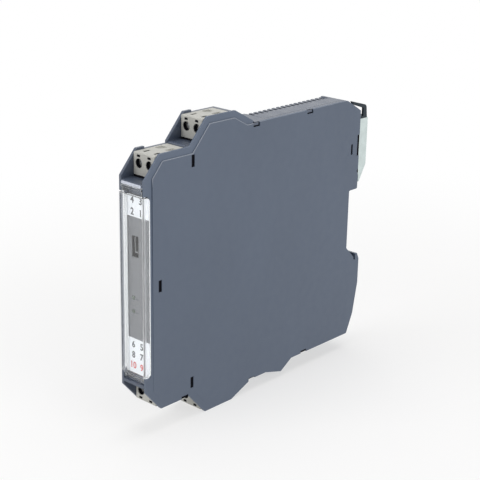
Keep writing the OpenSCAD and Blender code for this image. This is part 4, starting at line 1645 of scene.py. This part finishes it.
@dataclass
class FootCatch:
    """Sheet-metal foot catch and the slider inside it."""

    bench: Workbench
    bend_radius: float = 0.55
    sheet_edge: float = 0.07
    sheet_reach: float = 0.9
    loop_width: float = 2.6
    strap_width: float = 1.0
    loop_height: float = 6.9
    loop_corner: float = 0.9
    loop_set_back: float = 0.6

    def build(self) -> None:
        """Bends the sheet metal and narrows the slider's loop."""
        self.channel()
        self.slider()

    def slider(self) -> None:
        """Narrows the slider's pull loop to a strap with a rounded corner."""
        high = in_mm(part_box("catch_slider")[1])
        piece = self.bench.reworked("catch_slider_moulding", "catch_slider")
        self.bench.open(piece)
        inner = high.x - self.loop_width
        foot = high.z - self.loop_height
        self.bench.move(
            Pick.VERTS,
            lambda c, n, e: abs(c.x - inner) < 0.01 and c.z > foot - 0.05,
            (self.loop_width - self.strap_width, 0, 0),
        )
        self.bench.move(
            Pick.VERTS,
            lambda c, n, e: c.y > high.y - 0.01 and c.z > foot + 1,
            (0, -self.loop_set_back, 0),
        )
        rear = high.y - self.loop_set_back
        self.bench.pick(
            Pick.EDGES,
            lambda c, d, e: abs(d.x) > 0.9 and c.y > rear - 0.01 and c.z > foot + 1,
        )
        self.bench.bevel(self.loop_corner, 5)
        self.bench.close()
        self.bench.soften(piece, 0.12, 3)
        self.bench.hand_over(piece, SLIDER, "catch")

    def channel(self) -> None:
        """Rounds the bends of the pressed channel."""
        low, high = (in_mm(c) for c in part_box("foot_catch"))
        piece = self.bench.reworked("pressed_catch", "foot_catch")
        self.bench.open(piece)
        self.bench.move(Pick.VERTS, lambda c, n, e: c.y > high.y - 1.0, (0, self.sheet_reach, 0))
        self.bench.pick(
            Pick.EDGES,
            lambda c, d, e: abs(d.z) > 0.9
            and c.y > high.y + self.sheet_reach - 0.01
            and min(abs(c.x - low.x), abs(c.x - high.x)) < 0.01,
        )
        self.bench.bevel(self.bend_radius, 5)
        self.bench.close()
        self.bench.soften(piece, self.sheet_edge)
        self.bench.hand_over(piece, ZINC, "catch", 25)


@dataclass
class Electronics:
    """Circuit board with the parts that sit on it."""

    bench: Workbench
    body_depth: float = 114.0
    half_height: float = 55.0
    capacitors: tuple[tuple[float, float], ...] = ((0.3, -0.3), (0.3, -0.5), (0.86, 0.0))
    chips: tuple[tuple[float, float], ...] = ((0.34, 0.3), (0.34, 0.02), (0.66, -0.4))
    legs: int = 4
    leg_pitch: float = 2.0

    def build(self) -> None:
        """Dresses the board and its parts and adds their metal ends."""
        self.bench.dress("circuit_board", BOARD)
        self.bench.dress("transformer", BLACK, 0.25)
        self.bench.dress("capacitors", SLEEVE, 0.4, 3)
        self.bench.dress("coupler_chips", BLACK, 0.2)
        self.capacitor_tops()
        self.chip_legs()
        self.winding()

    def spot(self, share: tuple[float, float]) -> Vector:
        """Place of a part on the board, from its shares of depth and height."""
        return Vector((0, (share[0] - 1) * self.body_depth, share[1] * self.half_height))

    def capacitor_tops(self) -> None:
        """Turns one aluminium can top and copies it to each capacitor."""
        high = in_mm(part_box("capacitors")[1])
        home = self.spot(self.capacitors[0])
        profile = [(-0.25, 1.9), (0.04, 1.9), (0.06, 1.7), (-0.02, 1.55), (-0.03, 0.3)]
        master = self.bench.turned("can_top", (high.x, home.y, home.z), profile, "X", 32)
        for index, share in enumerate(self.capacitors):
            piece = self.bench.copy(master, f"capacitor_top_{index}", self.spot(share) - home)
            self.bench.hand_over(piece, ALUMINIUM)
        bpy.data.objects.remove(master, do_unlink=True)

    def chip_legs(self) -> None:
        """Bends one chip's legs and copies them to each chip."""
        low, high = (in_mm(c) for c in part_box("coupler_chips"))
        home = self.spot(self.chips[0])
        wide = self.chip_width()
        rows = []
        for side in (-1, 1):
            start = home + Vector((0, side * wide / 2, -(self.legs - 1) / 2 * self.leg_pitch))
            inner, outer = start.y - side * 0.2, start.y + side * 0.55
            leg = self.bench.block(
                "leg",
                (low.x + 0.9, min(inner, outer), start.z - 0.22),
                (low.x + 1.15, max(inner, outer), start.z + 0.22),
            )
            self.bench.open(leg)
            self.bench.split((0, outer - side * 0.25, 0), (0, 1, 0))
            edge = outer - side * 0.25
            self.bench.pick(
                Pick.FACES, lambda c, n, e: n.x < -0.9 and (c.y - edge) * side > 0.01
            )
            self.bench.extrude((-0.88, 0, 0))
            self.bench.close()
            self.bench.repeat(leg, self.legs, (0, 0, self.leg_pitch))
            rows.append(leg)
        master = self.bench.merge(rows, "chip_leg_rows")
        for index, share in enumerate(self.chips):
            piece = self.bench.copy(master, f"chip_legs_{index}", self.spot(share) - home)
            self.bench.hand_over(piece, TINNED)
        bpy.data.objects.remove(master, do_unlink=True)

    def chip_width(self) -> float:
        """Width of a chip, read from the first one's own corners."""
        home = self.spot(self.chips[0])
        corners = [v.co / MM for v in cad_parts["coupler_chips"].data.vertices]
        near = [c.y for c in corners if (c - home).yz.length < 7]
        return max(near) - min(near)

    def winding(self) -> None:
        """Wraps the transformer's core in copper."""
        low, high = (in_mm(c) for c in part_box("transformer"))
        middle = (low + high) / 2
        piece = self.bench.block(
            "transformer_winding",
            (high.x - 0.4, middle.y - 3.4, middle.z - 4.0),
            (high.x + 0.12, middle.y + 3.4, middle.z + 4.0),
        )
        self.bench.open(piece)
        for step in range(1, 10):
            self.bench.split((0, 0, middle.z - 4.0 + step * 0.8), (0, 0, 1))
        self.bench.move(
            Pick.EDGES,
            lambda c, d, e: abs(d.y) > 0.9 and c.x > high.x and round((c.z - middle.z) / 0.8) % 2,
            (-0.1, 0, 0),
        )
        self.bench.close()
        self.bench.soften(piece, 0.05)
        self.bench.hand_over(piece, COPPER)


@dataclass
class Studio:
    """Floor, light and camera."""

    floor_gap: float = 0.05
    floor_size: float = 4.0
    floor_colour: Colour = (0.86, 0.85, 0.84)
    floor_glow: float = 0.56
    glow_reach: tuple[float, float] = (0.05, 0.3)
    ambient: float = 0.30
    camera_place: tuple[float, float, float] = (0.28497, -0.37074, 0.14886)
    azimuth: float = 42.62
    elevation: float = 19.0
    roll: float = 1.08
    lens: float = 91.05
    soft_lights: tuple[tuple[tuple[float, float, float], float, float], ...] = (
        ((-0.10, 0.15, 1.35), 1.3, 12.4),
        ((-0.35, -1.20, 0.55), 0.9, 6.0),
        ((1.15, 0.10, 0.45), 0.8, 6.0),
    )

    def build(self) -> None:
        """Sets up the studio."""
        self.floor()
        self.world()
        for index, (place, size, power) in enumerate(self.soft_lights):
            self.soft_light(f"soft_light_{index}", place, size, power)
        self.camera()
        bpy.context.scene.view_settings.view_transform = "Standard"

    def floor(self) -> None:
        """Lays the pale floor, which runs out to white."""
        low = CAD_BOX[0]
        bpy.ops.object.select_all(action="DESELECT")
        bpy.ops.mesh.primitive_plane_add(
            size=self.floor_size, location=(0, 0, low.z - self.floor_gap * MM)
        )
        floor = bpy.context.active_object
        floor.name = "floor"
        bpy.ops.object.transform_apply(location=True, rotation=True, scale=True)
        bench = NodeBench("pale_floor")
        cloud = bench.noise(120, 2)
        bench.tint(cloud, self.floor_colour, 0.015)
        bench.set(Roughness=0.9, Specular_IOR_Level=0.1)
        glow = bench.add("ShaderNodeEmission")
        glow.inputs["Color"].default_value = (1, 1, 1, 1)
        away = bench.add("ShaderNodeVectorMath")
        away.operation = "LENGTH"
        bench.join(bench.place, away.inputs[0])
        length = away.outputs["Value"]
        fade = bench.remap(length, self.glow_reach, (self.floor_glow, 1), "SMOOTHSTEP")
        mix = bench.add("ShaderNodeMixShader")
        surfaces = (bench.shader.outputs["BSDF"], glow.outputs["Emission"])
        for socket, into in zip((fade, *surfaces), mix.inputs):
            bench.join(socket, into)
        bench.join(mix.outputs["Shader"], bench.output.inputs["Surface"])
        floor.data.materials.append(bench.material)

    def world(self) -> None:
        """Makes the world white to look at and soft to be lit by."""
        world = bpy.data.worlds.new("studio")
        bpy.context.scene.world = world
        world.use_nodes = True
        tree = world.node_tree
        tree.nodes.clear()
        soft = tree.nodes.new("ShaderNodeBackground")
        soft.inputs["Color"].default_value = (0.97, 0.985, 1.0, 1)
        soft.inputs["Strength"].default_value = self.ambient
        white = tree.nodes.new("ShaderNodeBackground")
        white.inputs["Color"].default_value = (1, 1, 1, 1)
        white.inputs["Strength"].default_value = 1.0
        path = tree.nodes.new("ShaderNodeLightPath")
        seen = path.outputs["Is Camera Ray"]
        for key in ("Is Glossy Ray", "Is Transmission Ray"):
            more = tree.nodes.new("ShaderNodeMath")
            more.operation = "MAXIMUM"
            tree.links.new(seen, more.inputs[0])
            tree.links.new(path.outputs[key], more.inputs[1])
            seen = more.outputs["Value"]
        mix = tree.nodes.new("ShaderNodeMixShader")
        tree.links.new(seen, mix.inputs["Fac"])
        tree.links.new(soft.outputs["Background"], mix.inputs[1])
        tree.links.new(white.outputs["Background"], mix.inputs[2])
        output = tree.nodes.new("ShaderNodeOutputWorld")
        tree.links.new(mix.outputs["Shader"], output.inputs["Surface"])

    def soft_light(
        self, name: str, place: tuple[float, float, float], size: float, power: float
    ) -> None:
        """Hangs one square soft light that points at the object.

        Args:
            name: Name of the light.
            place: Where it hangs, in metres.
            size: Its side, in metres.
            power: Its power, in watts.
        """
        lamp = bpy.data.lights.new(name, "AREA")
        lamp.shape = "SQUARE"
        lamp.size = size
        lamp.energy = power
        thing = bpy.data.objects.new(name, lamp)
        bpy.context.scene.collection.objects.link(thing)
        thing.location = place
        aim = (CAD_BOX[0] + CAD_BOX[1]) / 2 - Vector(place)
        thing.rotation_euler = aim.to_track_quat("-Z", "Y").to_euler()

    def camera(self) -> None:
        """Sets the camera where the photograph was taken from."""
        lens = bpy.data.cameras.new("camera")
        lens.lens = self.lens
        lens.sensor_width = 36
        lens.clip_start = 0.01
        thing = bpy.data.objects.new("camera", lens)
        bpy.context.scene.collection.objects.link(thing)
        a, e, r = (math.radians(v) for v in (self.azimuth, self.elevation, self.roll))
        back = Vector((math.sin(a) * math.cos(e), -math.cos(a) * math.cos(e), math.sin(e)))
        right = Vector((math.cos(a), math.sin(a), 0))
        up = back.cross(right)
        turned_right = math.cos(r) * right + math.sin(r) * up
        turned_up = -math.sin(r) * right + math.cos(r) * up
        turn = Matrix((turned_right, turned_up, back)).transposed().to_4x4()
        thing.matrix_world = Matrix.Translation(self.camera_place) @ turn
        bpy.context.scene.camera = thing


def main() -> None:
    """Builds every sub-assembly in order."""
    bench = Workbench(PaintShop())
    for assembly in (
        Housing(bench),
        FrontPanel(bench),
        TerminalRow(bench),
        FootCatch(bench),
        Electronics(bench),
        Studio(),
    ):
        assembly.build()
        log.info("%s done", type(assembly).__name__)


if __name__ == "__main__":
    main()
